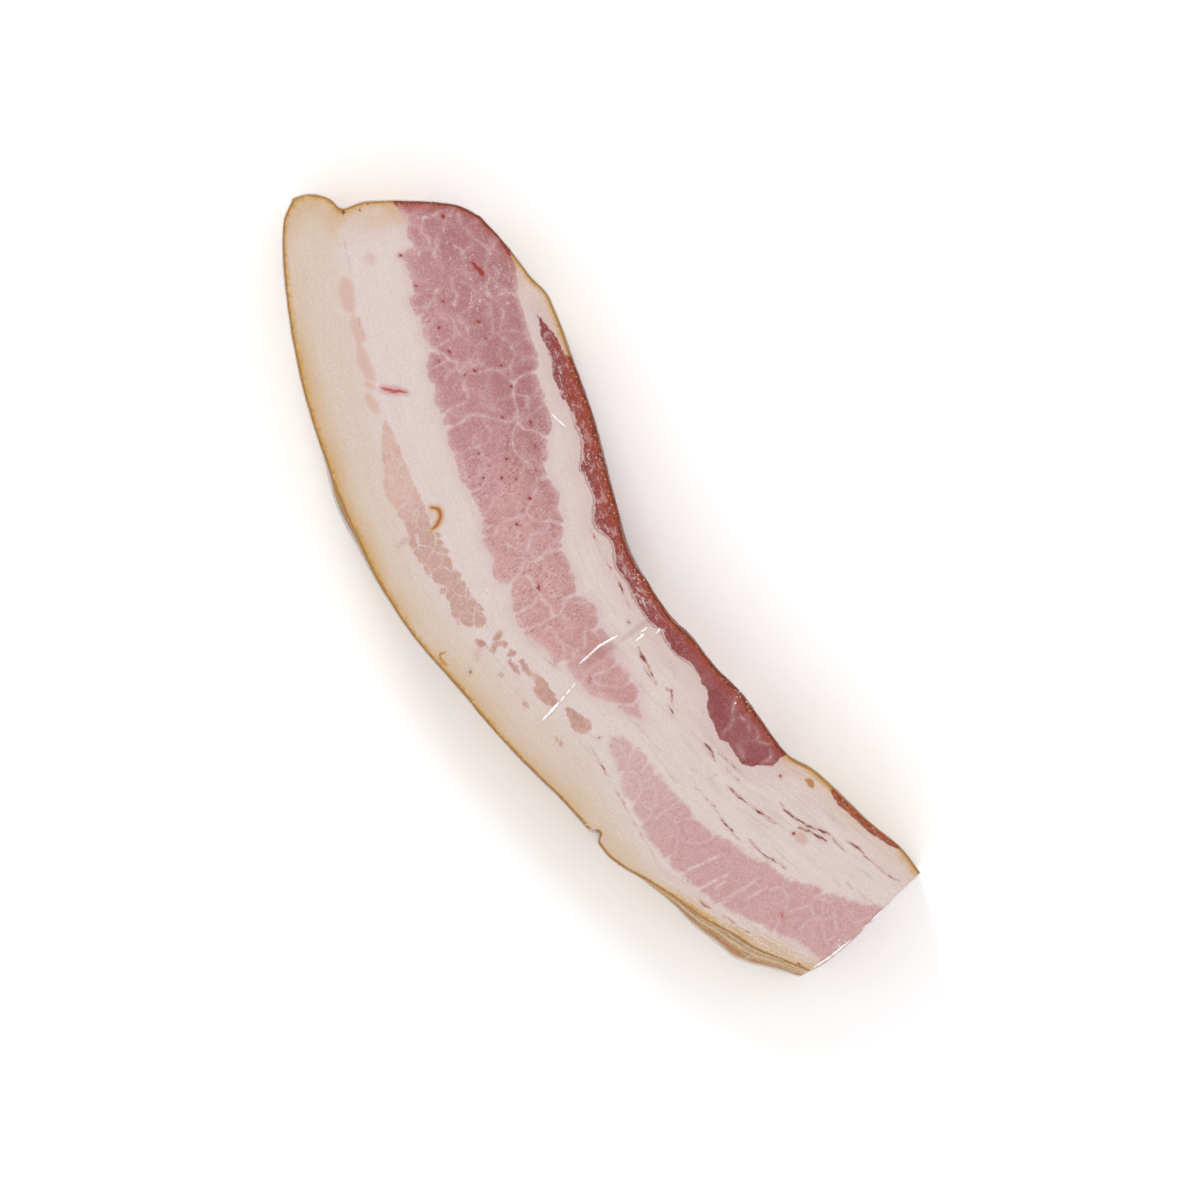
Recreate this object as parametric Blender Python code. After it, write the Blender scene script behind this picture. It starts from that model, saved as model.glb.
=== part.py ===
"""Slab bacon: one unsliced chunk of cured, smoked pork belly in a tight clear film.

The chunk lies on one of its two cut faces. X runs along it, from the wide smoked head end at -X to
the narrow fresh-cut end at +X. -Y is the skin side, +Y is the meat side, and +Z is the upper cut
face. The origin is at the middle of the base. Lengths here are in millimetres; the mesh is in metres.
"""

import math

import bmesh
import bpy
from mathutils import Matrix, Vector, noise

MM = 0.001

# Driving dimensions
SLAB_DEPTH = 30.0       # between the two cut faces
EDGE_ROUND = 0.9        # rounding where a side meets a cut face
WALL_SWELL = 0.35       # how far the smoked sides bulge and dip
SWELL_LENGTH = 17.0     # from one bulge of a side to the next
LEAN_DIP = 0.45         # how far the lean shrinks below the fat on the upper face
LEAN_SLOPE = 1.6        # width of the slope from fat down to lean
FACE_WAVE = 0.22        # unevenness of the knife cut across the upper face

# The cell counts along, across and through the chunk
CELLS_ALONG = 84
CELLS_ACROSS = 22

# Depths below the upper face of the rows of points down each side
SIDE_ROWS = (0.0, 0.3, 0.9, 2.4, 4.6, 7.6, 10.4, 12.6, 16.0, 21.0, 26.0, 29.1, 29.7, SLAB_DEPTH)

# The four edges of the chunk as they show from above. Each is a smooth curve through its points.
SKIN_EDGE = (
    (-116.6, -1.2), (-112.9, -6.7), (-105.0, -12.3), (-95.0, -17.6), (-84.0, -22.7),
    (-70.0, -27.9), (-57.0, -31.7), (-46.0, -35.5), (-34.0, -36.7), (-22.0, -37.8), (-8.0, -37.5),
    (10.0, -35.6), (32.0, -32.7), (46.0, -29.8), (56.6, -28.5), (65.0, -27.8), (74.0, -24.0),
    (82.0, -20.4), (90.0, -17.2), (97.0, -13.8), (104.0, -10.8), (110.0, -6.9), (116.3, -2.6),
)
MEAT_EDGE = (
    (-86.5, 35.4), (-75.0, 36.8), (-67.0, 37.2), (-60.0, 38.1), (-46.0, 35.0), (-29.0, 30.5),
    (-9.0, 23.5), (4.0, 19.5), (14.0, 18.7), (23.0, 18.7), (30.0, 20.1), (40.0, 20.9),
    (50.0, 22.8), (67.0, 23.4), (76.0, 27.3), (92.0, 31.0), (103.0, 34.1), (111.3, 34.6),
)
HEAD_END = (
    (-116.6, -1.2), (-115.2, 2.9), (-111.4, 6.3), (-107.4, 7.4), (-106.2, 12.4),
    (-102.9, 18.2), (-98.1, 25.2), (-92.4, 31.9), (-86.5, 35.4),
)
CUT_END = ((116.3, -2.6), (116.6, 3.0), (115.2, 14.0), (112.6, 27.0), (111.3, 34.6))

# A nick in the skin edge
NICK_X = 58.0
NICK_WIDTH = 1.7
NICK_DEPTH = 1.5

# Towards the cut end the lower layers of the skin side spread out under the upper ones.
SPREAD_STATIONS = (
    (74.0, 0.0), (80.0, 0.9), (85.0, 1.8), (90.0, 3.1), (95.0, 4.0), (102.0, 4.7), (106.0, 4.4),
    (110.0, 3.5), (117.0, 2.6),
)
SPREAD_PROFILE = (
    (0.0, 0.0), (0.9, 0.0), (2.4, -0.18), (4.6, 0.30), (7.6, 0.62), (10.4, 0.80),
    (12.6, 0.72), (16.0, 1.0), (21.0, 0.97), (26.0, 0.92), (SLAB_DEPTH, 0.86),
)

# Outlines of the lean muscles on the cut face
MAIN_LEAN = (
    (-101.5, 20.0), (-95.0, 28.0), (-84.0, 34.8), (-70.0, 34.8), (-58.0, 29.8), (-46.0, 25.0),
    (-33.0, 20.5), (-25.0, 13.3), (-13.0, 10.3), (-4.0, 5.2), (8.0, 3.8), (27.0, 2.3),
    (40.0, -1.5), (27.0, -9.4), (5.0, -14.0), (-11.0, -12.0), (-30.0, -5.7), (-47.0, -2.0),
    (-64.0, 4.0), (-78.0, 8.3), (-90.0, 16.0),
)
EDGE_LEAN = (
    (-59.0, 33.3), (-46.0, 33.4), (-42.0, 34.5), (-29.0, 31.5), (-9.0, 24.5), (5.0, 20.0),
    (20.0, 19.5), (36.0, 21.2), (50.0, 23.6), (68.0, 23.5), (66.0, 15.0), (56.0, 12.0),
    (40.0, 16.3), (20.0, 13.9), (-3.0, 16.2), (-20.0, 20.8), (-38.0, 26.6), (-50.0, 30.6),
)
LOWER_LEAN = (
    (40.0, -10.5), (52.0, -5.8), (72.0, -3.7), (88.0, 4.5), (101.0, 11.5), (113.0, 21.0),
    (116.5, 10.0), (116.0, 1.5), (107.0, -1.5), (96.0, -8.5), (83.0, -14.2), (66.0, -16.8),
    (50.0, -14.5),
)
STREAK_LEAN = (
    (-93.0, -2.0), (-83.0, -4.7), (-68.0, -9.0), (-56.0, -13.2), (-40.0, -15.8), (-27.0, -18.4),
    (-2.0, -20.5), (-6.0, -26.5), (-30.0, -24.6), (-44.0, -22.8), (-54.0, -17.0), (-70.0, -11.3),
)
LEAN_OUTLINES = (MAIN_LEAN, EDGE_LEAN, LOWER_LEAN, STREAK_LEAN)


def clear_scene():
    """Remove every object of the scene."""
    for item in list(bpy.data.objects):
        bpy.data.objects.remove(item, do_unlink=True)


def smooth_curve(points, steps=16):
    """Return a fine chain of points on a smooth curve through the given ones."""
    knots = [Vector(point) for point in points]
    knots = [2 * knots[0] - knots[1], *knots, 2 * knots[-1] - knots[-2]]
    chain = []
    for before, start, end, after in zip(knots, knots[1:], knots[2:], knots[3:]):
        for step in range(steps):
            t = step / steps
            chain.append(0.5 * (
                2 * start + (end - before) * t
                + (2 * before - 5 * start + 4 * end - after) * t ** 2
                + (3 * start - before - 3 * end + after) * t ** 3
            ))
    chain.append(knots[-2])
    return chain


def even_stations(points, cells):
    """Return cells + 1 points that divide a smooth curve into equal lengths."""
    chain = smooth_curve(points)
    travelled = [0.0]
    for start, end in zip(chain, chain[1:]):
        travelled.append(travelled[-1] + (end - start).length)
    stations = []
    reached = 0
    for cell in range(cells + 1):
        wanted = travelled[-1] * cell / cells
        while reached < len(chain) - 2 and travelled[reached + 1] < wanted:
            reached += 1
        share = (wanted - travelled[reached]) / (travelled[reached + 1] - travelled[reached])
        stations.append(chain[reached].lerp(chain[reached + 1], min(share, 1.0)))
    return stations


def read_between(value, stations):
    """Read a value from a row of stations, with straight runs between them."""
    if value <= stations[0][0]:
        return stations[0][1]
    for (low, start), (high, end) in zip(stations, stations[1:]):
        if value <= high:
            share = (value - low) / (high - low)
            return start + (end - start) * share
    return stations[-1][1]


def depth_inside(spot, outline):
    """Return how far a spot lies inside an outline, negative outside it."""
    nearest = math.inf
    inside = False
    for start, end in zip(outline, outline[1:] + outline[:1]):
        run = Vector(end) - Vector(start)
        along = (spot - Vector(start)).dot(run) / run.length_squared
        closest = Vector(start) + run * min(max(along, 0.0), 1.0)
        nearest = min(nearest, (spot - closest).length)
        if (start[1] > spot.y) != (end[1] > spot.y):
            crossing = start[0] + (spot.y - start[1]) * run.x / run.y
            inside ^= spot.x < crossing
    return nearest if inside else -nearest


class Outline:
    """The chunk seen from above, as a patch between its four edges."""

    def __init__(self):
        self.skin = [self.nicked(point) for point in even_stations(SKIN_EDGE, CELLS_ALONG)]
        self.meat = even_stations(MEAT_EDGE, CELLS_ALONG)
        self.head = even_stations(HEAD_END, CELLS_ACROSS)
        self.cut = even_stations(CUT_END, CELLS_ACROSS)

    @staticmethod
    def nicked(point):
        """Push a point of the skin edge in where the nick is."""
        push = NICK_DEPTH * math.exp(-((point.x - NICK_X) / NICK_WIDTH) ** 2)
        return point + Vector((0.0, push))

    def spot(self, i, j):
        """Return the place of the crossing of line i along and line j across."""
        u = i / CELLS_ALONG
        v = j / CELLS_ACROSS
        sides = (1 - v) * self.skin[i] + v * self.meat[i]
        ends = (1 - u) * self.head[j] + u * self.cut[j]
        corners = (
            (1 - u) * (1 - v) * self.skin[0] + u * (1 - v) * self.skin[-1]
            + (1 - u) * v * self.meat[0] + u * v * self.meat[-1]
        )
        return sides + ends - corners

    def outward(self, i, j):
        """Return the direction out of the chunk at an edge, or zero inside it."""
        total = Vector((0.0, 0.0))
        if j in (0, CELLS_ACROSS):
            edge = self.meat if j else self.skin
            run = edge[min(i + 1, CELLS_ALONG)] - edge[max(i - 1, 0)]
            total += Vector((-run.y, run.x)).normalized() * (1 if j else -1)
        if i in (0, CELLS_ALONG):
            edge = self.cut if i else self.head
            run = edge[min(j + 1, CELLS_ACROSS)] - edge[max(j - 1, 0)]
            total += Vector((run.y, -run.x)).normalized() * (1 if i else -1)
        return total.normalized() if total.length else total


def rounding(depth):
    """Return how far a side lies inside its outline near a cut face."""
    near = min(depth, SLAB_DEPTH - depth)
    if near >= EDGE_ROUND:
        return 0.0
    return EDGE_ROUND * (1 - math.sqrt(1 - (1 - near / EDGE_ROUND) ** 2))


def face_relief(spot):
    """Return the height of the upper face over its mean, for its lean and its wavy cut."""
    inside = max(depth_inside(spot, outline) for outline in LEAN_OUTLINES)
    share = min(max(0.5 + inside / LEAN_SLOPE, 0.0), 1.0)
    wave = noise.noise(Vector((spot.x, spot.y * 2, 0.0)) / SWELL_LENGTH)
    return FACE_WAVE * wave - LEAN_DIP * share * share * (3 - 2 * share)


def slab_point(outline, i, j, row):
    """Return the place of one vertex of the chunk, in metres."""
    depth = SIDE_ROWS[row]
    spot = outline.spot(i, j)
    outward = outline.outward(i, j)
    swell = WALL_SWELL * noise.noise(Vector((spot.x, spot.y, depth)) / SWELL_LENGTH)
    spread = read_between(spot.x, SPREAD_STATIONS) * read_between(depth, SPREAD_PROFILE)
    height = SLAB_DEPTH - depth
    if row == 0 and not outward.length:
        height += face_relief(spot)
    spot = spot + outward * (swell - rounding(depth))
    spot.y -= spread * (1 - j / CELLS_ACROSS) ** CELLS_ACROSS
    return Vector((spot.x, spot.y, height)) * MM


def make_material(name, colour, roughness):
    """Return a plain material."""
    material = bpy.data.materials.new(name)
    material.use_nodes = True
    shader = material.node_tree.nodes["Principled BSDF"]
    shader.inputs["Base Color"].default_value = (*colour, 1.0)
    shader.inputs["Roughness"].default_value = roughness
    shader.inputs["Metallic"].default_value = 0.0
    return material


def divided_box(cells):
    """Return a unit box whose faces are divided into the given cells along X, Y and Z."""
    mesh = bmesh.new()
    bmesh.ops.create_cube(mesh, size=1.0, matrix=Matrix.Translation((0.5, 0.5, 0.5)))
    for axis, count in enumerate(cells):
        spans = {edge: abs(edge.verts[0].co[axis] - edge.verts[1].co[axis]) for edge in mesh.edges}
        along = [edge for edge, span in spans.items() if span > 0.5]
        bmesh.ops.subdivide_edges(mesh, edges=along, cuts=count - 1, use_grid_fill=True)
    return mesh


def make_slab():
    """Model the chunk: a divided box whose vertices are moved onto the chunk's form."""
    outline = Outline()
    cells = (CELLS_ALONG, CELLS_ACROSS, len(SIDE_ROWS) - 1)
    mesh = divided_box(cells)
    for vert in mesh.verts:
        i, j, k = (round(vert.co[axis] * cells[axis]) for axis in range(3))
        vert.co = slab_point(outline, i, j, cells[2] - k)
    base = [face for face in mesh.faces if all(vert.co.z < 0.01 * MM for vert in face.verts)]
    bmesh.ops.dissolve_faces(mesh, faces=base, use_verts=True)
    bmesh.ops.recalc_face_normals(mesh, faces=mesh.faces)
    low = Vector([min(vert.co[axis] for vert in mesh.verts) for axis in range(3)])
    high = Vector([max(vert.co[axis] for vert in mesh.verts) for axis in range(3)])
    middle = (low + high) / 2
    bmesh.ops.translate(mesh, verts=mesh.verts, vec=(-middle.x, -middle.y, 0.0))

    slab = bpy.data.meshes.new("bacon_slab")
    mesh.to_mesh(slab)
    mesh.free()
    slab.shade_smooth()
    slab.set_sharp_from_angle(angle=math.radians(40.0))
    slab.materials.append(make_material("cured_pork", (0.70, 0.47, 0.42), 0.4))
    thing = bpy.data.objects.new("bacon_slab", slab)
    bpy.context.scene.collection.objects.link(thing)


clear_scene()
make_slab()
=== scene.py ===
"""Slab bacon: an unsliced chunk of smoked pork belly in tight clear film, seen from above.

Run as a script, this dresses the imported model: it makes the pork with its muscles, marbling, cracks
and smoked rim, the film drawn over it, and the floor, lights and camera. Outlines are in millimetres
in the model's own frame: X along the slab, -Y the skin side, +Y the meat side, Z up.
"""

import math

import bmesh
import bpy
import numpy as np
from mathutils import Matrix, Vector, noise


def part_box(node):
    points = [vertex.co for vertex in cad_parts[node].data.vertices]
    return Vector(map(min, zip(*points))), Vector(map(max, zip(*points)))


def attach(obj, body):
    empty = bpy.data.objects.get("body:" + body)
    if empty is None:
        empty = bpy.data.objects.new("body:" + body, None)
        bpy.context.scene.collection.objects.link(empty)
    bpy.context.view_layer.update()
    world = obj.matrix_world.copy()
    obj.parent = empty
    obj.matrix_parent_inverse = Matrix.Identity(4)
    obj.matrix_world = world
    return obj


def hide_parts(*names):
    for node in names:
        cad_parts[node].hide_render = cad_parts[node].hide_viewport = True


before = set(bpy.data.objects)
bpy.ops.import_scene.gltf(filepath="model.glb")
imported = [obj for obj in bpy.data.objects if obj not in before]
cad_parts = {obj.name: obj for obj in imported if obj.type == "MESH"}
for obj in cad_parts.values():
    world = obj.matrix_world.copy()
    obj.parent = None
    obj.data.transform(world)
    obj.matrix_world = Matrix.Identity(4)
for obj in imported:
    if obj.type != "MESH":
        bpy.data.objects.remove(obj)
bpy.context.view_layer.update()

bl_info = {
    "name": "Slab bacon",
    "version": (1, 0, 0),
    "blender": (4, 5, 0),
    "location": "3D View > Sidebar > Bacon",
    "description": "Makes a chunk of slab bacon in clear film, with its marbling and smoked rim",
    "category": "Add Mesh",
}

MM = 0.001
NODE = "bacon_slab"
SLAB_HEIGHT = (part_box(NODE)[1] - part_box(NODE)[0]).z
# The slab's length and mean width in millimetres, by which the material's flow is scaled
FLOW_LENGTH = 233
FLOW_WIDTH = 60

# Depths of the rows of faces down the sides of the pork and of the film, for a slab 30 mm high
PORK_ROWS = (
    0, 0.1, 0.28, 0.6, 1.1, 1.7, 2.4, 3.2, 4.1, 5.2, 6.5, 8, 9.6, 11.4, 13.4, 15.6, 18, 20.6, 23.4, 26.2,
    28.4, 29.3, 29.75, 30,
)
FILM_ROWS = (0, 0.12, 0.35, 0.8, 1.6, 2.8, 4.4, 6.4, 9, 12, 16, 20, 24, 27.5, 29.2, 29.7, 30)
# Waves of the smoked sides and of the cut face, and their length
SWELL = 0.35
SWELL_LENGTH = 17.0
FACE_WAVE = 0.22
# Fine waves of the sides of the pork and of the film, and the film's tucks
PORK_FINE = 0.16
FILM_FINE = 0.08
FILM_TUCK = 0.1
# The gap between the pork's sides and the film, the pork's height over the floor, and the film's rounding
FILM_GAP = 0.07
BASE_GAP = 0.06
FILM_ROUND = 0.6
# Roughness of the crusted meat side, and of the ledges between the spread layers
CRUST_ROUGH = 0.3
LEDGE_DEPTH = 0.8
# How fast the spread of the layers dies away across the slab
SPREAD_FADE = 22
# How far the muscles drift from the upper cut face to the lower one, and how far their borders shake
DRIFT = 16
SHAKE = 0.3
# Depth of the blood marks and of the smoked rim below the cut face
BLOOD_DIP = 0.05
RIM_DIP = 0.12
# What share of each colour passes through the film
FILM_CLEAR = (0.885, 0.885, 0.885)
# Where the camera looks, in millimetres, and where the lights stand, in metres
VIEW_MIDDLE = (9.80, 6.27)
KEY_SPOT = (-0.85, 0.25, 0.75)
FILL_SPOT = (0.8, -0.5, 0.7)

# ---------------------------------------------------------------- outlines, in millimetres

def read_points(text):
    """Return the points that a text lists, with commas between them."""
    return tuple(tuple(float(number) for number in point.split()) for point in text.split(","))


def read_outlines(text):
    """Return the outlines that a text lists, with semicolons between them."""
    return tuple(read_points(outline) for outline in text.split(";"))


def read_strokes(text):
    """Return the strokes that a text lists: half a width, a colon and the points that each runs through."""
    halves = (stroke.split(":") for stroke in text.split(";"))
    return tuple((float(half_width), *read_points(points)) for half_width, points in halves)


SKIN_EDGE = read_points("""
    -116.6 -1.2, -112.9 -6.7, -105 -12.3, -95 -17.6, -84 -22.7, -70 -27.9, -57 -31.7, -46 -35.5, -34 -36.7,
    -22 -37.8, -8 -37.5, 10 -35.6, 32 -32.7, 46 -29.8, 56.6 -28.5, 65 -27.8, 74 -24, 82 -20.4, 90 -17.2,
    97 -13.8, 104 -10.8, 110 -6.9, 116.3 -2.6
""")
MEAT_EDGE = read_points("""
    -86.5 35.4, -75 36.8, -67 37.2, -60 38.1, -46 35, -29 30.5, -9 23.5, 4 19.5, 14 18.7, 23 18.7, 30 20.1,
    40 20.9, 50 22.8, 67 23.4, 76 27.3, 92 31, 103 34.1, 111.3 34.6
""")
HEAD_END = read_points("""
    -116.6 -1.2, -115.2 2.9, -111.4 6.3, -107.4 7.4, -106.2 12.4, -102.9 18.2, -98.1 25.2, -92.4 31.9,
    -86.5 35.4
""")
CUT_END = read_points("116.3 -2.6, 116.6 3, 115.2 14, 112.6 27, 111.3 34.6")
# The nick in the skin edge: where it is, half its width and its depth
NICK = (58.0, 1.3, 1.8)

# How far the lower layers of the skin side spread out, along the slab, and the share of it by depth
SPREAD_STATIONS = read_points("""
    74 0, 80 0.9, 85 1.8, 90 3.1, 95 4, 102 4.7, 106 4.4, 110 3.5, 117 2.6
""")
SPREAD_PROFILE = read_points("""
    0 0, 0.6 0, 1.5 -0.16, 2.4 -0.12, 2.8 0, 3.2 0.34, 4.1 0.4, 5.85 0.44, 6.5 0.68, 8 0.72, 9.6 0.74,
    10.5 0.9, 12.4 0.95, 16 1, 20 0.98, 26 0.92, 30 0.86
""")
FILM_PROFILE = read_points("""
    0 0, 0.8 0, 2.2 0.1, 3.2 0.42, 5 0.56, 6.5 0.78, 9 0.9, 10.5 0.98, 16 1.03, 20 1, 26 0.95, 30 0.88
""")
SPREAD_MOST = max(reach for _, reach in SPREAD_STATIONS)
# Where the film stands off the pork at the two long sides
SKIN_GAPS = read_points("-60 0.2, -53 0.9, -46 1.5, -39 1.3, -32 0.6, -24 0.4, -14 0.2")
MEAT_GAPS = read_points("-6 0.2, 0 0.9, 5 0.8, 13 0.3, 18 0.2")

# The muscles
MAIN_LEAN = read_points("""
    -104 19.6, -100 26.5, -94 33, -87 36.5, -80 37, -74 36.2, -69.5 34.8, -65 32.3, -60 30.7, -55 29,
    -50 28, -47.5 26.5, -46 25, -42 24, -37 22.3, -33 20.5, -31 18.2, -27 15.5, -25 13.3, -22 13, -18 12.5,
    -15.5 11, -13 10.3, -10 8.5, -6 5.5, 1 4.8, 3 3.7, 6 2.5, 8 4, 12 4.3, 14.5 2.8, 20 3, 24 2, 31 2.2,
    35 1.8, 37 0, 40 -1.5, 38 -3.5, 35 -5.3, 32 -6.5, 28 -9, 25 -9.8, 18 -10, 17 -12, 13 -11.5, 9 -13.5,
    5 -14.2, 0 -13.6, -5 -10.5, -8 -12.3, -11 -12, -15 -10, -18 -10, -21 -8.5, -25 -6.5, -28 -5.7, -35 -5.7,
    -39 -4.2, -43 -3.5, -47 -2, -51 -0.7, -55 0, -57 1.5, -60 1.9, -63 3, -64.7 5, -66 6, -70 6.3, -72 7.5,
    -76.5 8, -79.5 8.5, -80 10.5, -85 12.2, -88 13, -89.5 14, -90 17, -93 17.2, -95 18.8, -98 18.9
""")
EDGE_LEAN = read_points("""
    -59 33.3, -55 33.7, -50 33.8, -46 33.4, -42 36, -33 34, -25 31.5, -15 28, -5 24.5, 4 22, 15 21, 25 21.5,
    40 23.5, 55 25.5, 67 26, 67.5 22.5, 68 19.5, 67 16.5, 65 14, 62 12.5, 58 13, 55.5 11.8, 52 12.5,
    48 13.2, 44 15.3, 40 16.3, 36 16.3, 33 15.5, 30 14.3, 25 14.8, 22 14, 18 13.8, 14 14, 9 14.9, 6 14.5,
    3 15.2, 0 16.7, -3 16.8, -6 15.8, -9 17, -12 19.5, -16 20.5, -20 20.8, -22 22.5, -25 24.8, -30 26,
    -33 27, -37.5 26.5, -40 27.5, -43 27.7, -47 29.7, -52 31, -57 32.6
""")
LOWER_LEAN = read_points("""
    40 -10.5, 41 -8.5, 43.5 -7.5, 48 -6, 52 -5.8, 60 -5.2, 64 -4.5, 69 -4.3, 72 -3.7, 75 -2, 80 0.5, 84 1.5,
    88 4.5, 92 5.5, 95 7, 97 9, 100 11.5, 101.5 11.5, 103 13, 104.5 14.5, 108 17, 111 20, 116 23.5, 121 20,
    121 1.5, 115 1.5, 110 0, 107 -1.5, 104 -4, 100 -5.5, 97 -8, 93 -9.8, 89 -12, 85 -13.5, 80 -15, 75 -16,
    70 -16.8, 63 -16.8, 57 -15.8, 52 -15.8, 49 -14, 44 -13, 41 -12.2
""")
STREAK_LEAN = read_points("""
    -58 -13.3, -54 -13, -48 -14.4, -44 -15, -38 -16.4, -34 -17, -28 -18.9, -27 -17.8, -22.5 -18.3,
    -17.5 -19.2, -12 -19.2, -5 -19.2, -2 -20.5, -1 -22.5, -2.5 -24.5, -5.5 -26.5, -9 -26.5, -12 -25.5,
    -20 -26, -27 -25.8, -32 -23.8, -40 -23.8, -44 -22.8, -47 -20.5, -50 -19, -54 -16.6
""")
# Small pale strips of lean, near the cut end and in the fat of the skin side
STRIPS = read_outlines("""
    85.6 15.2, 86.8 16, 88.8 15.6, 89.2 14.4, 87.8 13.3, 86.1 13.8; -93 -2.4, -91 -0.7, -86 -3.2,
    -84.2 -4.6, -86 -6.2, -90.5 -4.8; -83.6 -5, -80.5 -5, -77 -5.8, -76.6 -8.2, -80 -7.9, -83.2 -6.6;
    -77.5 -7.8, -74 -7.5, -70 -8.4, -66.8 -9.7, -69 -11.2, -74 -10.6; -68 -10.9, -65.6 -10.6, -66.2 -12.2,
    -68.2 -12.4; -65.6 -12.9, -62.5 -12.3, -59.6 -13.2, -61 -14.6, -65 -14.4
""")
# Islands of browner lean beside the tip of the main muscle
ISLANDS = read_outlines("""
    0.6 -24.6, 1.8 -23.3, 3.2 -24, 2.6 -25.6, 1 -25.8; 1.6 -18.9, 3 -18.6, 4.2 -20.4, 5.8 -22.4, 6.2 -23.6,
    4.8 -23.6, 3 -21.4; 4.8 -19.4, 6.2 -19, 6.4 -20.2, 5 -20.6; 7.6 -19.2, 8.8 -18.2, 9.6 -19.6, 8.4 -20.6;
    9.2 -20.4, 11.6 -20.2, 13.8 -20.6, 13.2 -21.4, 10 -21.4; 10.6 -18.4, 12.8 -17.8, 16 -18.2, 15.4 -19.3,
    12 -19.5; 16 -17.6, 19 -16.4, 23 -16.4, 25.6 -17, 24.2 -19.4, 20 -20.4, 18 -18.8; 26.8 -15.6, 31 -13.8,
    34.4 -13, 35.4 -15.2, 33.2 -17.4, 29.6 -16.9; 10.8 -24.4, 12 -24, 12.4 -25.2, 11 -25.4; 19.6 -23.6,
    21.4 -23, 22.8 -23.6, 21 -24.3; 31.8 -22.1, 33.6 -21.5, 35.2 -22, 33.4 -22.4
""")
# Where the inner fat meets the outer fat
LAYER_LINE = read_points("""
    -118 9, -100 3.5, -93 0.5, -85 -3, -75 -7.5, -65 -11.5, -50 -17.5, -35 -22, -20 -25.5, -5 -25, 10 -22,
    25 -18.5, 38 -16, 52 -17, 66 -18, 74 -18.8, 82 -17, 90 -13.5, 100 -9, 110 -3.5, 118 0
""")

# Cracks in the fat
CRACKS = read_strokes("""
    0.28: -108.2 7.3, -106.4 7, -104.4 6.5; 0.3: -92 31, -90.8 32.2; 0.28: 7 12.7, 10 12.5, 12 11.8,
    16 11.3; 0.42: 25 7.7, 27.5 7, 30 7, 32.5 6.7, 35 6; 0.3: 30 6.2, 32 5.8, 34.5 5.9; 0.4: 37 7.5,
    38.5 8.2, 39.8 7.8, 41 6.8; 0.28: 40.5 6, 42.5 5.7, 44 5.3; 0.62: 53.8 7.8, 56 8.1, 59.2 7.8;
    0.24: 58 9.4, 62 10.5, 65 11.3; 0.2: 62 8.8, 66.5 9.7; 0.38: 66 6.7, 70 7.5, 75 9.3, 78 10.5, 80.5 11.2;
    0.26: 62 0, 67 0.9, 71 0.8, 76 1.2, 80 1.6; 0.34: 80 3.8, 84 4.2, 87 5.2, 90 6.8, 91.5 7.2;
    0.42: 77 15.2, 80 15.4, 83 16.5, 86 18, 89 20, 91 21.5; 0.34: 91 21.5, 93 21.3, 96.5 21.8;
    0.52: 84.5 15.3, 87 17.2, 90 18.8, 91.5 19.7; 0.5: 94.5 23.8, 98 25.3, 100 25.3, 103 26.3;
    0.28: 103 26.3, 107 27.5, 110 29; 0.16: 106 18.9, 110 19.4; 0.16: 100.5 15.6, 102.5 16; 0.16: 103 17.8,
    105 18.3; 0.28: -82.8 -4.4, -80.5 -4.9, -78.5 -5.3; 0.5: 86 -15, 88 -14.6, 89.5 -13.7; 0.26: 92 -12.5,
    94 -11.6, 96 -10.8; 0.34: 96.5 -11, 98.5 -10, 100 -9.3; 0.16: 38 -16, 45 -16.6, 52 -17, 60 -17.7;
    0.14: 60 -17.7, 66 -18, 74 -18.8; 0.05: -100 3.5, -96.5 2, -93 0.5; 0.22: 13.7 -13.2, 15.5 -13,
    17.5 -12.4; 0.16: -6 14.2, 2 13, 5 12.9; 0.14: 62.2 6, 62.2 3.2
""")
# Blood marks in the lean: spots as one point, streaks as two or more
BLOOD = read_strokes("""
    0.5: -91.9 27.9, -91.1 27.1; 0.6: -74.9 27.6, -73.9 27.3; 0.55: -74.5 27.6; 0.55: -78 27, -76 27.2,
    -74.5 27.6; 0.6: -92 27.2, -91.3 27.6; 0.4: -74.3 15.3, -73.6 15.4; 0.45: -69.2 11, -68.8 11.1;
    0.4: -65.1 20, -64.6 20.2; 0.34: -60.7 19.3, -60.2 19.1; 0.36: -52.9 18.7, -52.3 18.6; 0.36: -47.2 17.8,
    -46.6 17.7; 0.42: -55.6 12.3, -54.9 12.6; 0.36: -63 9.7, -62.4 9.8; 0.3: -62.3 6.3; 0.34: -56 10,
    -55.6 9.7; 0.38: -41.9 11.4, -41.4 11.5; 0.32: -36.7 16.8; 0.3: -31.2 14.3, -30.7 14.3; 0.3: -26 11.2;
    0.34: -32.6 6.5, -32.3 6.9; 0.34: -27.2 5.8; 0.46: -21.5 5.8, -20.8 5.9; 0.4: -29.5 3.4, -29.2 2.6;
    0.28: -33.6 2.1; 0.36: -37.6 1.8, -37.4 1.4; 0.34: -31.9 -0.7; 0.4: -17.4 -0.4; 0.34: -81 12;
    0.5: -89.6 13, -89.2 13.1; 0.4: 71.5 19.4, 71.5 18.9; 0.46: 85 13.7, 85.4 13.9; 0.34: 6.3 -30.3,
    6.8 -31; 0.26: 38.2 -13.2; 0.24: 18.5 9.1; 0.34: -2 -4.2, -0.6 -4.9; 0.26: -1.5 -5.4, -1.3 -4.4;
    0.26: 24.8 -6.6; 0.22: 25 -7.2; 0.3: 39 17.1; 0.26: -6.4 -5.8
""")
# Fresh red slits in the fat
SLITS = read_strokes("""
    0.42: -64.7 -9.5, -62.8 -7.6, -60.2 -4.7; 0.24: -62.6 -8.2, -61.2 -6; 0.26: 100.2 0.4, 101.4 -0.6
""")
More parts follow.
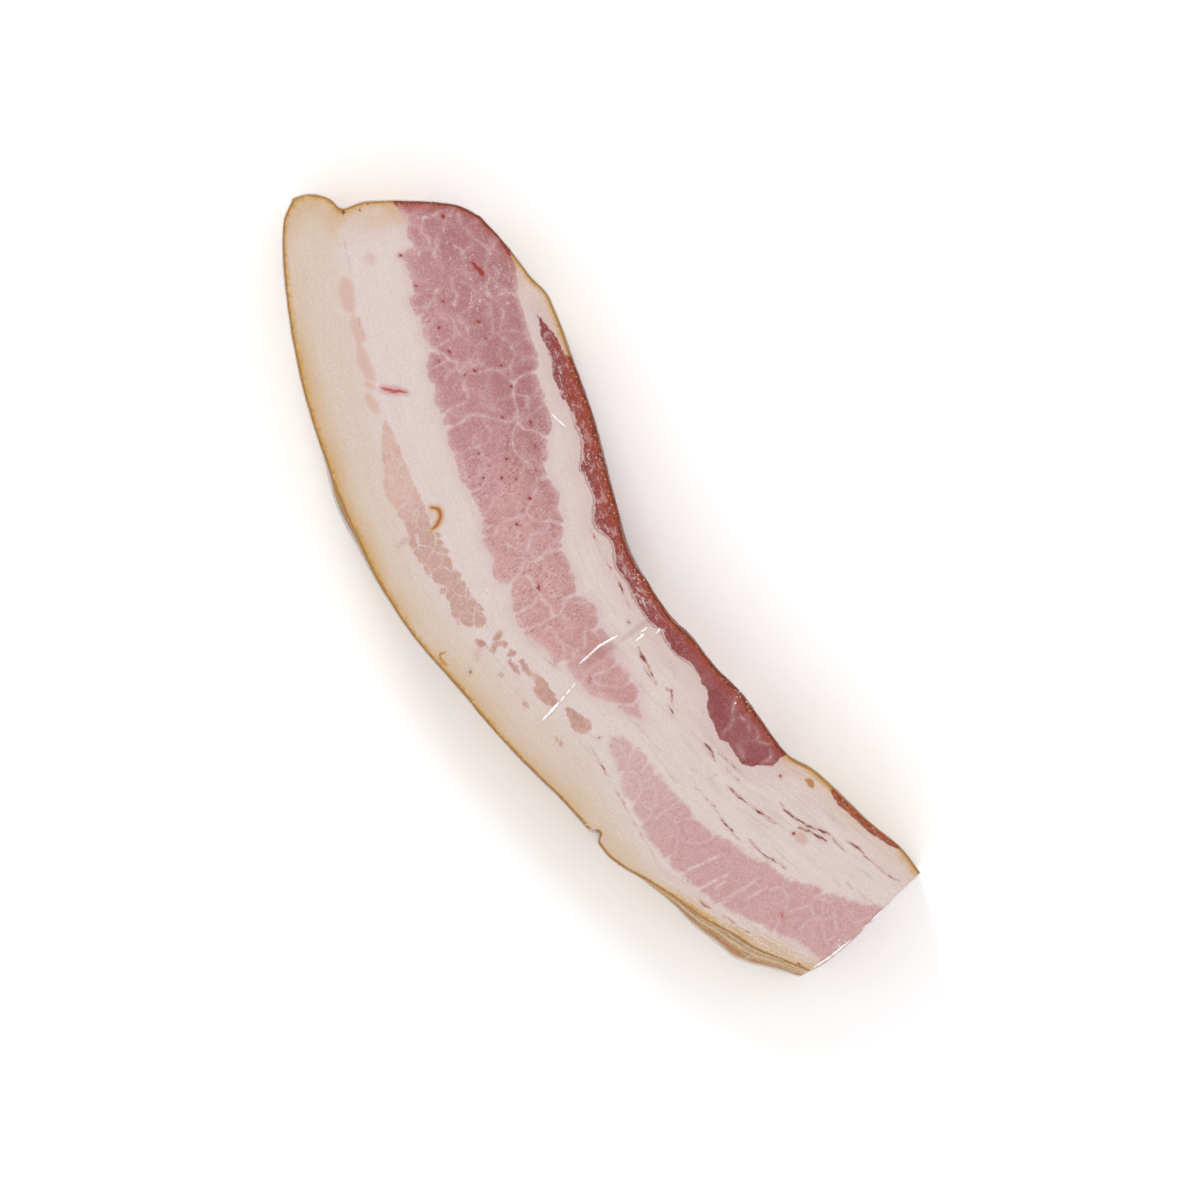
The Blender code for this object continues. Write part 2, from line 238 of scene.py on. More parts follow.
# Bands of painted shade beside the film's folds
FOLD_SHADES = read_strokes("""
    0.3: -30.4 -21.6, -29.9 -25, -29.3 -30.2; 1: 21.4 3.4, 21.2 -2, 21.8 -7; 0.7: 21 16, 20.8 10, 21.2 5
""")
# The brown smoke mark in the streak, and small curls of crust at the edge
HOOK = read_strokes("0.42: -33 -15.8, -31.8 -14.7, -30.2 -14.9, -28.9 -16.4, -28.2 -18.8")
CURL = read_strokes("0.5: -1 -33, -0.9 -34.6, 0.8 -35.1, 2 -34.2; 0.8: 75.8 23.6, 77 24.4, 78.4 24.2")
# White seams that stand out in the lean
SEAMS = read_strokes("""
    0.32: 54 21, 56 20.2, 57.8 19; 0.3: 59 20.6, 61.6 19.6, 63.6 21.6; 0.3: 64.8 20.6, 66.4 19.4, 66.2 16.6;
    0.26: 59.4 14.6, 62.6 14.2; 0.26: 48.6 21.4, 51 18.6, 53.6 16.6, 54.4 13.6; 0.26: 53.6 19, 57.6 20.6;
    0.55: -90.8 31.2, -89.4 30.6, -88 30; 0.26: -91.6 31.4, -91.2 28.2, -90.5 27.1, -89.4 25.4;
    0.28: -95.1 27.9, -93.4 27.1, -93.4 24.6, -94.1 23.2, -93.7 22.5; 0.2: -93.7 22.9, -91.6 20.7,
    -89.4 21.4, -87.3 20.4, -85.1 20; 0.22: -88.7 23.9, -86.6 22.1, -85.5 20; 0.62: -73.9 31.1, -71.6 30.4;
    0.22: -72.3 28.6, -70.9 26.4, -68.7 25.7; 0.18: -83.7 25.7, -81.6 26.4, -79.4 25.7; 0.26: -78 20.7,
    -75.9 19.6, -73.7 19.3, -71.6 17.1; 0.26: -77.3 16.6, -76.9 15; 0.2: -75.9 14.3, -75.1 11.4, -72.3 10.7;
    0.22: -74.4 9.6, -73 6.6; 0.26: -68 16.1, -65.9 16.8, -63.7 16.1; 0.2: -71.6 12.9, -69.4 13.6;
    0.34: -65.6 6.2, -63 8.2, -60.9 8.6, -59.4 10, -58 9, -55.6 10.4; 0.22: -60.9 8.6, -61.4 6.2, -61.6 4.3;
    0.2: -58 9, -58.4 6.1, -56.6 4.4; 0.26: -45.9 26, -47.4 22.2, -47.4 19.4, -45.9 17.6, -43.4 16.5,
    -40.6 15.4; 0.24: -40.6 15.4, -38.4 14, -36.3 14.4, -34.9 15.8, -31 18.3; 0.2: -47 18.6, -49.1 18.3,
    -51.3 17.6, -53.4 15.8, -54.4 12.6, -55.6 10.4; 0.2: -55.6 10.4, -53.4 7.6, -51.3 7.6, -49.9 6.1,
    -50.6 3.3, -50.4 -1.4; 0.32: -42.4 9.6, -44.9 7.6, -46.6 4.7, -46.3 1.9, -47.6 -2.4; 0.18: -44.9 7.6,
    -42.6 7.4, -39.9 6.9, -38.6 4.2, -40 0.4; 0.22: -40.6 15.4, -39.9 12.6, -42.4 9.6; 0.2: -38.4 14,
    -36 10.6, -32.2 9.4; 0.24: -22.6 13.4, -24.1 10.4, -22 8.3, -19.5 4.7, -18.4 3.3, -15.6 4;
    0.22: -15.6 4, -12.7 7.6, -10.6 9.4; 0.18: -32.2 9.4, -28 10.6, -24.1 10.4; 0.22: -12.7 7.6, -12.7 3.3,
    -13.4 1.1, -10.6 -1.7, -12 -3.9, -15.2 -5.3; 0.22: -18.4 3.3, -19.1 0.4, -19.9 -3.9, -18.4 -6.7,
    -20.2 -9.6; 0.44: -8.8 -3.9, -7 -6, -4.9 -5.3, -2 -5.3; 0.34: -7 -6, -6.6 -8.1, -5.4 -11.4;
    0.22: -5.6 6, -7.7 1.9, -7 -1.4, -8.8 -3.9; 0.18: -32 0.6, -30.2 -2.2, -31 -6.6; 0.4: 4.4 4.6, 5.4 2.4,
    4.9 -0.6, 6.7 -3.4, 6.7 -5.6; 0.24: 6.7 -5.6, 4.6 -5.2, 0.3 -5.6, -2 -5.3; 0.22: 6.7 -5.6, 6.4 -9.9,
    5 -14.4; 0.22: 0.3 -6.3, 1.4 -9.1, 0.6 -13.8; 0.24: 14.4 3.6, 15.3 0.9, 14.2 -1.3, 17.4 -3.4, 16.7 -5.6,
    13.1 -7.7; 0.2: 16.7 -5.6, 18.4 -7.6, 17.6 -10.8; 0.28: 24.6 2.4, 25.6 -1.3, 24.6 -5.6, 26 -6.3,
    29.6 -3.4; 0.22: 34.4 2.2, 36 -1.3, 34.6 -3.4, 32.8 -6.4; 0.18: 29.6 -3.4, 31.2 -1, 30.4 2.4;
    0.26: 44.6 -6.6, 46 -8.4, 47.4 -10.6, 49.2 -11.6, 51 -10.6, 53.1 -10.9, 55.3 -12, 57 -15.9;
    0.22: 49.2 -11.6, 48.4 -14.6; 0.22: 49.5 -5.6, 51 -8.4, 51 -10.6; 0.22: 52.9 -5.4, 53.9 -8.4,
    53.1 -10.9; 0.18: 41 -11, 43.4 -9.8, 47.4 -10.6; 0.2: 55 -8.4, 58.9 -9.9, 60 -12.7, 57.6 -13.3;
    0.28: 57.6 -13.3, 60.1 -12.6, 61.5 -13.3, 61.9 -17.2; 0.2: 62.6 -5.4, 62.6 -9.7, 62.9 -12.6, 61.5 -13.3;
    0.18: 62.6 -9.7, 66.4 -9.2, 69.6 -10.4, 72.9 -13.4; 0.26: 72.9 -13.4, 72.9 -17; 0.18: 66.4 -9.2,
    67.4 -6.4, 68.8 -3.9; 0.18: 69.6 -10.4, 73 -8.6, 74.6 -5.6, 74.4 -2; 0.28: 79.6 -3.6, 79.4 -5.4,
    78.6 -9.7, 77.9 -15.8; 0.26: 84.6 -4.8, 84 -9.7, 83.3 -14.6; 0.2: 85.8 -6.9, 85.4 -10.4; 0.28: 89.7 0.3,
    89.7 -4, 89.4 -6.9, 89.5 -12.2; 0.24: 92.6 0.3, 92.2 -6.1; 0.34: 100.8 0.3, 101.9 -1.9, 103.4 -5;
    0.3: 101.9 12.4, 101.5 8.9, 102.2 6.7, 101.5 3.9, 100.4 1; 0.22: 102.4 10, 104.7 11.7, 107.2 11.4,
    109 10.3, 111.1 9.2; 0.2: 107.2 7.4, 104 6.7, 102.2 6.7; 0.2: 107.2 7.4, 105.4 4.6, 106.1 1.7;
    0.2: 107.2 7.4, 110.4 6, 113.3 5.3; 0.34: 107 7.2, 107.4 7.7; 0.18: 107.2 7.4, 107.9 9.6;
    0.18: 94.6 7.6, 95.2 4, 93.8 1.4; 0.18: 95.2 4, 98.4 3.2, 100.4 1
""")
# Smoke stains on the cut face
STAINS = read_strokes("""
    0.35: -104.7 13.4; 0.3: -104.7 11; 0.5: -106.8 7.4, -106.2 7; 0.35: -105.6 -11; 1.9: 82.6 28, 88 29.5,
    95 31.5, 102.5 33.6; 0.45: 112.6 -3.6, 113.6 -3.2
""")
# Golden fat along the rim and the spread layers
GOLDS = read_strokes("""
    1: 80 -21.4, 86 -19.6, 92 -17.4, 97 -15; 0.2: -106.6 8.6, -105.6 12.5, -103.6 16; 1: 98 -12.6,
    103 -10.9, 106 -9.4; 1.2: 71 24.8, 75 26.6, 81 27.8; 1: 103.6 33, 108 33.6, 110.8 33.2; 0.5: 62 22,
    68 22.4, 71 24
""")
# Blushes in the fat
BLUSHES = read_strokes("""
    0.8: -30.6 -19.6, -30 -21.6; 1.2: -94 6.4, -92 6.2; 1.5: 86.6 14.4, 87.8 14.8; 0.9: -64.2 -9,
    -60.8 -5.4; 1.2: -34.6 -20.6, -32.4 -19.6, -31.6 -17; 0.5: -30.6 -21, -29.9 -24, -29.4 -28; 0.5: 2 -24,
    4.6 -27.6; 0.8: -89.4 13
""")
# The film's creases, raised and painted with white highlights, and the patches where it glints: reach and
# middle
CREASES = read_strokes("""
    0.2: 111.9 31, 113.2 24, 114.9 14; 0.22: 115.3 11, 115.9 4, 115.8 -1; 0.24: 19.7 4.8, 19.3 0, 19.6 -3,
    20.1 -6.8; 0.22: 23.7 -10.6, 24 -11.8; 0.26: 24.2 -12.5, 24.6 -13.8; 0.24: 24.8 -14.6, 25.2 -16;
    0.32: 25.3 -16.6, 25.8 -18.4, 26.3 -20.6; 0.26: 26.4 -21, 26.6 -22.4; 0.2: 24.3 14.6, 24.5 13.2;
    0.18: 23.2 10.6, 23.2 8; 0.16: 22.2 12.2, 22.1 10.4; 0.22: -35.6 22.3, -33.4 22.7, -31 23.4
""")
GLINTS = read_strokes("""
    4: 80.5 19; 3.2: 23 11.5; 2: 55 -27.6; 0.8: -54 -12.3; 1.6: -38.5 -33; 4.5: 108 -9; 2.5: 103 -12.4;
    1.4: -95.5 27.5; 3: 114.5 8; 3: 112.8 27; 2.4: 18 -16; 4: 10 17.6; 5: 50 21; 4: -20 24.5
""")


def srgb(red, green, blue):
    """Return a colour given on the 0 to 255 screen scale as the linear values that shaders use."""
    shares = (channel / 255 for channel in (red, green, blue))
    return tuple(s / 12.92 if s <= 0.04045 else ((s + 0.055) / 1.055) ** 2.4 for s in shares)


def colour_property(name, description, colour):
    """Return a colour setting."""
    return bpy.props.FloatVectorProperty(
        name=name, description=description, subtype="COLOR", size=3, min=0, max=1, default=srgb(*colour)
    )


def length_property(name, description, millimetres):
    """Return a length setting."""
    return bpy.props.FloatProperty(
        name=name, description=description, unit="LENGTH", min=0, precision=5, default=millimetres * MM
    )


class BaconSizes(bpy.types.PropertyGroup):
    """The sizes of the pork and the film that a user may change."""

    edge_round: length_property("Edge round", "Rounding where a side meets a cut face", 0.4)
    lean_dip: length_property("Lean dip", "How far the lean lies below the fat", 0.28)
    crack_depth: length_property("Crack depth", "Depth of the cracks in the fat", 0.08)
    film_lift: length_property("Film lift", "Gap between the pork and the film on the cut faces", 0.16)
    crease_height: length_property("Crease height", "Height of the film's creases", 0.3)


class BaconColours(bpy.types.PropertyGroup):
    """The colours of the pork and the film."""

    fat_inner: colour_property("Inner fat", "Fat in the middle of the cut face", (224, 205, 202))
    fat_outer: colour_property("Outer fat", "Creamy fat towards the skin side", (218, 198, 183))
    fat_gold: colour_property("Golden fat", "Fat that the smoke has stained at the rim", (202, 154, 76))
    main_dark: colour_property("Main lean, head end", "Main muscle towards the head end", (190, 134, 136))
    main_light: colour_property("Main lean, tip", "Main muscle towards its tip", (207, 158, 154))
    edge_lean: colour_property("Edge lean", "Dark muscle along the meat side", (142, 62, 64))
    lower_lean: colour_property("Lower lean", "Pale muscle towards the cut end", (206, 163, 160))
    streak_salmon: colour_property("Salmon streak", "Thin muscle in the skin-side fat", (214, 177, 163))
    streak_brown: colour_property("Brown streak", "The same muscle further along", (199, 158, 144))
    slit: colour_property("Slit", "Fresh red slits in the fat", (186, 62, 62))
    fleck_and_glint: colour_property("Fleck", "Pale flecks of fat in the smoked crust", (238, 212, 166))
    # Pale flecks of fat, which also serve as painted glints on the golden rim, the crust and the spread
    # layers
    seam: colour_property("Seam", "White seams between the bundles of lean", (226, 200, 197))
    blood: colour_property("Blood", "Dark spots of blood in the lean", (158, 38, 32))
    # The inside of the cracks: their brown colour with painted shade in the groove
    crack: colour_property("Crack", "Inside of the cracks in the fat", (114, 42, 24))
    hook: colour_property("Smoke mark", "The brown mark in the streak", (172, 94, 28))
    rind: colour_property("Smoked fat", "Smoked surface over fat", (204, 156, 86))
    rind_dark: colour_property("Dark smoked fat", "Darker stains on that surface", (150, 98, 46))
    crust: colour_property("Smoked lean", "Smoked surface over lean", (160, 56, 20))
    crust_dark: colour_property("Dark smoked lean", "Darker stains on that surface", (96, 28, 8))
    # Painted shade in the crevice under the cut face's edge, also the dark strata of the spread layers
    crevice_shade_and_strata: colour_property("Fold", "Depth of the folds at the spread layers", (134, 82, 46))
    layer: colour_property("Layers", "Spread layers of the skin side", (220, 180, 140))
    film_crease: colour_property("Crease", "Light that a crease of the film catches", (250, 248, 246))


class StudioSettings(bpy.types.PropertyGroup):
    """The camera, the floor and the lights."""

    view_width: length_property("View width", "Width that the picture takes in at the upper face", 300.0)
    camera_height: length_property("Camera height", "Height of the camera over the upper face", 3000.0)
    camera_turn: bpy.props.FloatProperty(
        name="Camera turn", description="Turn of the picture against the slab's own axes",
        subtype="ANGLE", default=math.radians(56.0),
    )
    floor_colour: colour_property("Floor", "Colour of the floor", (250, 250, 250))
    key_power: bpy.props.FloatProperty(
        name="Key power", description="Power of the main light", unit="POWER", min=0, default=3.8
    )
    fill_power: bpy.props.FloatProperty(
        name="Fill power", description="Power of the other light", unit="POWER", min=0, default=2.4
    )
    sky: bpy.props.FloatProperty(
        name="Sky", description="Strength of the even light from all round", min=0, default=1.0
    )


# ---------------------------------------------------------------- outline geometry

def curve_through(points, closed=False, steps=10):
    """Return places on a smooth curve through the points, as rows of X and Y."""
    knots = np.array(points, float)
    if closed:
        knots = np.vstack([knots[-1], knots, knots[:2]])
    else:
        knots = np.vstack([2 * knots[0] - knots[1], knots, 2 * knots[-1] - knots[-2]])
    before, start, end, after = knots[:-3], knots[1:-2], knots[2:-1], knots[3:]
    t = (np.arange(steps) / steps)[:, None, None]
    spots = 0.5 * (
        2 * start + (end - before) * t + (2 * before - 5 * start + 4 * end - after) * t ** 2
        + (3 * start - before - 3 * end + after) * t ** 3
    )
    chain = spots.transpose(1, 0, 2).reshape(-1, 2)
    return chain if closed else np.vstack([chain, knots[-2]])


def along_curve(points, shares, steps=16):
    """Return the places that lie the given shares of the way along a smooth curve."""
    chain = curve_through(points, steps=steps)
    travelled = np.concatenate([[0.0], np.cumsum(np.linalg.norm(np.diff(chain, axis=0), axis=1))])
    wanted = shares * travelled[-1]
    return np.column_stack([np.interp(wanted, travelled, chain[:, axis]) for axis in (0, 1)])


def segment_distances(spots, starts, ends):
    """Return each spot's distance to each segment, and how far along it the nearest place is."""
    runs = ends - starts
    lengths = np.maximum((runs ** 2).sum(1), 1e-12)
    offsets = spots[:, None] - starts
    shares = np.clip((offsets * runs).sum(2) / lengths, 0, 1)
    return np.linalg.norm(offsets - shares[..., None] * runs, axis=2), shares


def in_blocks(spots, work, size=4000):
    """Run the work on a block of spots at a time, so that it needs little memory."""
    return np.concatenate([work(spots[i:i + size]) for i in range(0, len(spots), size)])


def depth_inside(spots, points):
    """Return how far each spot lies inside a closed outline, negative outside it."""
    chain = curve_through(points, closed=True, steps=5)
    ends = np.roll(chain, -1, axis=0)

    def work(block):
        distance = segment_distances(block, chain, ends)[0].min(1)
        x, y = block[:, :1], block[:, 1:]
        straddles = (chain[:, 1] > y) != (ends[:, 1] > y)
        with np.errstate(divide="ignore", invalid="ignore"):
            crossing = chain[:, 0] + (y - chain[:, 1]) * (ends - chain)[:, 0] / (ends - chain)[:, 1]
        inside = (straddles & (x < crossing)).sum(1) % 2
        return np.where(inside == 1, distance, -distance)

    return in_blocks(spots, work)


def deepest_inside(spots, outlines):
    """Return how far each spot lies inside the nearest of several outlines."""
    return np.max([depth_inside(spots, outline) for outline in outlines], axis=0)


def stroke_cover(spots, strokes):
    """Return how far each spot lies inside the nearest stroke, whose ends taper to points."""
    cover = np.full(len(spots), -9.0)
    for half_width, *points in strokes:
        chain = curve_through(points, steps=6) if len(points) > 2 else np.array(points, float)
        if len(chain) == 1:
            cover = np.maximum(cover, half_width - np.linalg.norm(spots - chain[0], axis=1))
            continue
        near = np.linalg.norm(spots - chain.mean(0), axis=1) < np.ptp(chain, axis=0).max() + 9
        distance, share = segment_distances(spots[near], chain[:-1], chain[1:])
        nearest = distance.argmin(1)
        rows = np.arange(len(nearest))
        place = (nearest + share[rows, nearest]) / (len(chain) - 1)
        width = half_width * np.sqrt(np.clip(1.2 - (2 * place - 1) ** 2, 0.05, 1))
        cover[near] = np.maximum(cover[near], width - distance[rows, nearest])
    return cover


def smooth_step(values, low, high):
    """Return 0 below low and 1 above high, with a smooth rise between them."""
    share = np.clip((values - low) / (high - low), 0, 1)
    return share * share * (3 - 2 * share)


def read_table(values, table):
    """Read a table of stations at each value, with straight runs between them."""
    return np.interp(values, *np.array(table).T)


def wander(places, size, seed=0.0):
    """Return a smooth random value from about -1 to 1 at each place."""
    return np.array([noise.noise(Vector(place) / size + Vector((seed, seed, seed))) for place in places])


class SlabForm:
    """The slab as a box of shares along, across and up, drawn onto its real form."""

    def __init__(self, rows, edge_round):
        self.rows = rows
        self.round = edge_round

    def base_spots(self, box):
        """Return where each share along and across lies on the plan of the slab."""
        u, v = box[:, 0], box[:, 1]
        skin = along_curve(SKIN_EDGE, u)
        place, half_width, depth = NICK
        skin[:, 1] += depth * np.exp(-((skin[:, 0] - place) / half_width) ** 4)
        meat = along_curve(MEAT_EDGE, u)
        head = along_curve(HEAD_END, v)
        cut = along_curve(CUT_END, v)
        u, v = u[:, None], v[:, None]
        low = (1 - u) * np.array(SKIN_EDGE[0]) + u * np.array(SKIN_EDGE[-1])
        high = (1 - u) * np.array(MEAT_EDGE[0]) + u * np.array(MEAT_EDGE[-1])
        return (1 - v) * (skin - low) + v * (meat - high) + (1 - u) * head + u * cut

    def outward(self, box):
        """Return the direction out of the slab on its sides, which fades away a little inside them."""
        u, v = box[:, 0], box[:, 1]
        step = 0.003
        total = np.zeros((len(box), 2))
        for edge, inside, share, sign in (
            (SKIN_EDGE, v / 0.1, u, 1), (MEAT_EDGE, (1 - v) / 0.1, u, -1),
            (HEAD_END, u / 0.03, v, -1), (CUT_END, (1 - u) / 0.03, v, 1),
        ):
            after, before = (along_curve(edge, np.clip(share + way, 0, 1)) for way in (step, -step))
            run = after - before
            out = np.column_stack([run[:, 1], -run[:, 0]]) * sign / np.linalg.norm(run, axis=1)[:, None]
            total += out * (np.clip(1 - inside, 0, 1) ** 2)[:, None]
        return total / np.maximum(np.linalg.norm(total, axis=1), 1)[:, None]

    def depths(self, box):
        """Return the depth below the upper face, in millimetres of a slab 30 mm high."""
        return np.interp(1 - box[:, 2], np.linspace(0, 1, len(self.rows)), self.rows)

    def rounding(self, depths):
        """Return how far a side lies inside its outline near a cut face."""
        near = np.minimum(depths, self.rows[-1] - depths)
        share = np.clip(1 - near / self.round, 0, 1)
        return self.round * (1 - np.sqrt(1 - share ** 2))

    def spread(self, spots, depths, box, profile):
        """Return how far the spread layers reach out towards -Y."""
        along = np.column_stack([spots[:, 0], np.zeros((len(spots), 2))])
        shifted = depths + 0.7 * smooth_step(depths, 0.5, 3.0) * wander(along, 8.0, 61.0)
        reach = read_table(spots[:, 0], SPREAD_STATIONS) * read_table(shifted, profile)
        return reach * (1 - box[:, 1]) ** SPREAD_FADE

    def flow(self, box, depths):
        """Return places along, across and down the slab that follow its bend, in millimetres."""
        return np.column_stack([box[:, 0] * FLOW_LENGTH, box[:, 1] * FLOW_WIDTH, depths])

    def swell(self, spots, depths, fine):
        """Return how far the smoked sides bulge: long waves, and fine ones of the given size."""
        places = np.column_stack([spots, depths])
        return SWELL * wander(places, SWELL_LENGTH) + fine * wander(places, 4.2, 7.0)


def face_wave(spots):
    """Return the height of the wavy cut face over its mean."""
    flat = np.column_stack([spots[:, 0], spots[:, 1] * 2, np.zeros(len(spots))])
    return FACE_WAVE * wander(flat, SWELL_LENGTH)


def divided_box(counts):
    """Return a unit box whose faces are divided into the given counts along its axes."""
    mesh = bmesh.new()
    bmesh.ops.create_cube(mesh, size=1.0, matrix=Matrix.Translation((0.5, 0.5, 0.5)))
    for axis, count in enumerate(counts):
        spans = {edge: abs(edge.verts[0].co[axis] - edge.verts[1].co[axis]) for edge in mesh.edges}
        along = [edge for edge, span in spans.items() if span > 0.5]
        bmesh.ops.subdivide_edges(mesh, edges=along, cuts=count - 1, use_grid_fill=True)
    return mesh


def refine(mesh, form, test):
    """Divide in four the faces whose middles pass a test of their box shares and plan spots."""
    faces = list(mesh.faces)
    middles = np.array([face.calc_center_median() for face in faces])
    chosen = test(middles, form.base_spots(middles))
    edges = {edge for face, wanted in zip(faces, chosen) if wanted for edge in face.edges}
    bmesh.ops.subdivide_edges(mesh, edges=list(edges), cuts=1, use_grid_fill=True)


def finish_mesh(mesh, name, form, shape, sharp):
    """Turn a divided box into the named object: shape gives its places and its readings."""
    bmesh.ops.recalc_face_normals(mesh, faces=mesh.faces)
    data = bpy.data.meshes.new(name)
    mesh.to_mesh(data)
    mesh.free()
    box = np.zeros(len(data.vertices) * 3)
    data.vertices.foreach_get("co", box)
    places, readings = shape(form, box.reshape(-1, 3))
    data.vertices.foreach_set("co", (places * MM).ravel())
    for key, values in readings.items():
        kind, field = ("FLOAT_VECTOR", "vector") if values.ndim == 2 else ("FLOAT", "value")
        data.attributes.new(key, kind, "POINT").data.foreach_set(field, values.astype(np.float32).ravel())
    data.update()
    data.shade_smooth()
    data.set_sharp_from_angle(angle=math.radians(sharp))
    thing = bpy.data.objects.new(name, data)
    bpy.context.scene.collection.objects.link(thing)
    return thing


# ---------------------------------------------------------------- pork

def pork_mesh(form):
    """Return the pork's divided box, finest where the cut face is marked."""
    mesh = divided_box((160, 42, len(PORK_ROWS) - 1))

    def upper(middles):
        return middles[:, 2] > 0.999

    def marked(reach):
        strokes = CRACKS + BLOOD + SLITS + SEAMS + HOOK + CURL + STAINS
        return lambda middles, spots: upper(middles) & (stroke_cover(spots, strokes) > -reach)

    def rim(middles, spots):
        u, v, w = middles.T
        edge = (np.minimum(u, 1 - u) < 0.004) | (np.minimum(v, 1 - v) < 0.016)
        flare = (v < 1e-4) & (spots[:, 0] > 76) & (w > 0.45)
        return upper(middles) & edge | flare

    refine(mesh, form, lambda middles, spots: upper(middles))
    refine(mesh, form, rim)
    refine(mesh, form, marked(0.8))
    refine(mesh, form, marked(0.35))
    return mesh


def pork_shape(form, box, sizes):
    """Return the places of the pork's vertices in millimetres, and what its material reads there."""
    flat = form.base_spots(box)
    depths = form.depths(box)
    out = form.outward(box)
    x = flat[:, 0]
    shaded = np.where(box[:, 1] < 0.5, read_table(x, SKIN_GAPS), read_table(x, MEAT_GAPS))
    inset = form.rounding(depths) + FILM_GAP + shaded * (1 - 0.7 * smooth_step(depths, 1, 14))
    crusted = smooth_step(x, -44, -38) * (1 - smooth_step(x, 66, 72)) * (box[:, 1] > 0.5)
    ragged = CRUST_ROUGH * crusted * wander(np.column_stack([flat, depths * 0.7]), 1.5, 17.0)
    spots = flat + out * (form.swell(flat, depths, PORK_FINE) + ragged - inset)[:, None]
    spread = form.spread(flat, depths, box, SPREAD_PROFILE)
    spots[:, 1] -= spread
    flared = read_table(x, SPREAD_STATIONS) / SPREAD_MOST * (1 - box[:, 1]) ** SPREAD_FADE
    ledges = np.column_stack([x / 9, np.zeros(len(x)), depths / 0.9])
    spots[:, 1] -= LEDGE_DEPTH * flared * smooth_step(depths, 1.0, 3.0) * (wander(ledges, 1.0, 51.0) - 0.8)

    plan = np.column_stack([spots, depths * 2.2])
    drift = np.column_stack([wander(plan, 30, 11.0), wander(plan, 30, 23.0)])
    pattern = spots + drift * (smooth_step(depths, 1.0, 40.0) * DRIFT)[:, None]
    muscles = {"main": MAIN_LEAN, "edge": EDGE_LEAN, "lower": LOWER_LEAN, "streak": STREAK_LEAN}
    leans = {key: depth_inside(pattern, outline) for key, outline in muscles.items()}
    marks = {
        "crack": CRACKS, "blood": BLOOD, "seam": SEAMS, "hook": HOOK, "curl": CURL, "stain": STAINS,
        "blush": BLUSHES, "gold": GOLDS, "slit": SLITS, "fold": FOLD_SHADES,
    }
    jitter = np.column_stack([wander(plan, 1.7, 31.0), wander(plan, 1.7, 43.0)])
    shaken = pattern + SHAKE * jitter
    readings = {**leans, **{key: stroke_cover(shaken, strokes) for key, strokes in marks.items()}}
    readings["strips"] = deepest_inside(pattern, STRIPS)
    readings["islands"] = deepest_inside(pattern, ISLANDS)
    side = (box[:, 0] < 1e-5) | (np.minimum(box[:, 1], 1 - box[:, 1]) < 1e-5)
    smoked = [curve_through(edge) for edge in (SKIN_EDGE, MEAT_EDGE, HEAD_END)]
    rims = [in_blocks(flat, lambda block: segment_distances(block, c[:-1], c[1:])[0].min(1)) for c in smoked]
    near_face = np.minimum(depths, form.rows[-1] - depths)
    readings["rim"] = np.where(side, -np.minimum(near_face, 6), np.min(rims, axis=0))
    readings["skinward"] = read_table(pattern[:, 0], LAYER_LINE) - pattern[:, 1]
    readings["flare"] = flared
    readings["reach"] = spread / np.maximum(flared * SPREAD_MOST, 0.2)
    readings["flow"] = form.flow(box, depths)

    top = SLAB_HEIGHT / MM - sizes.film_lift / MM
    upper = 1 - smooth_step(depths, 0.0, 2.5)
    inside = np.max(list(leans.values()), axis=0)
    relief = -sizes.lean_dip / MM * smooth_step(inside, -0.7, 0.7)
    relief -= sizes.crack_depth / MM * smooth_step(readings["crack"], -0.16, 0.34)
    relief -= BLOOD_DIP * smooth_step(readings["blood"], -0.1, 0.3)
    relief -= RIM_DIP * smooth_step(readings["rim"], 1.2, 0.0)
    sunk = depths / form.rows[-1]
    heights = top * (1 - sunk) + BASE_GAP * sunk
    heights += upper * (relief + face_wave(spots) - FACE_WAVE * 0.4)
    return np.column_stack([spots, heights]), readings


# ---------------------------------------------------------------- film

def film_mesh(form):
    """Return the film's divided box, finest along its creases."""
    mesh = divided_box((132, 36, len(FILM_ROWS) - 1))

    def creased(reach):
        return lambda middles, spots: (middles[:, 2] > 0.999) & (stroke_cover(spots, CREASES) > -reach)

    for reach in (1.7, 0.9, 0.45):
        refine(mesh, form, creased(reach))
    return mesh


def film_shape(form, box, sizes):
    """Return the places of the film's vertices in millimetres, and what its material reads there."""
    flat = form.base_spots(box)
    depths = form.depths(box)
    out = form.outward(box)
    tucks = FILM_TUCK * wander(np.column_stack([flat * 1.6, depths * 0.25]), 2.4, 3.0)
    spots = flat + out * (form.swell(flat, depths, FILM_FINE) + tucks - form.rounding(depths))[:, None]
    spots[:, 1] -= form.spread(flat, depths, box, FILM_PROFILE)
    upper = 1 - smooth_step(depths, 0.0, 2.5)
    crease = stroke_cover(spots, CREASES) - 3 * (1 - upper)
    heights = SLAB_HEIGHT / MM * (1 - depths / form.rows[-1])
    relief = face_wave(spots) - FACE_WAVE * 0.4 + sizes.crease_height / MM * smooth_step(crease, -0.25, 0.25)
    heights += upper * relief
    reaches, centres = (np.array(column) for column in zip(*GLINTS))
    distances = np.linalg.norm(spots[:, None] - centres, axis=2) / reaches
    readings = {
        "crease": crease,
        "glint": smooth_step(distances.min(1), 1.0, 0.2) * upper,
        "flow": form.flow(box, depths),
    }
    return np.column_stack([spots, heights]), readings


# ---------------------------------------------------------------- materials

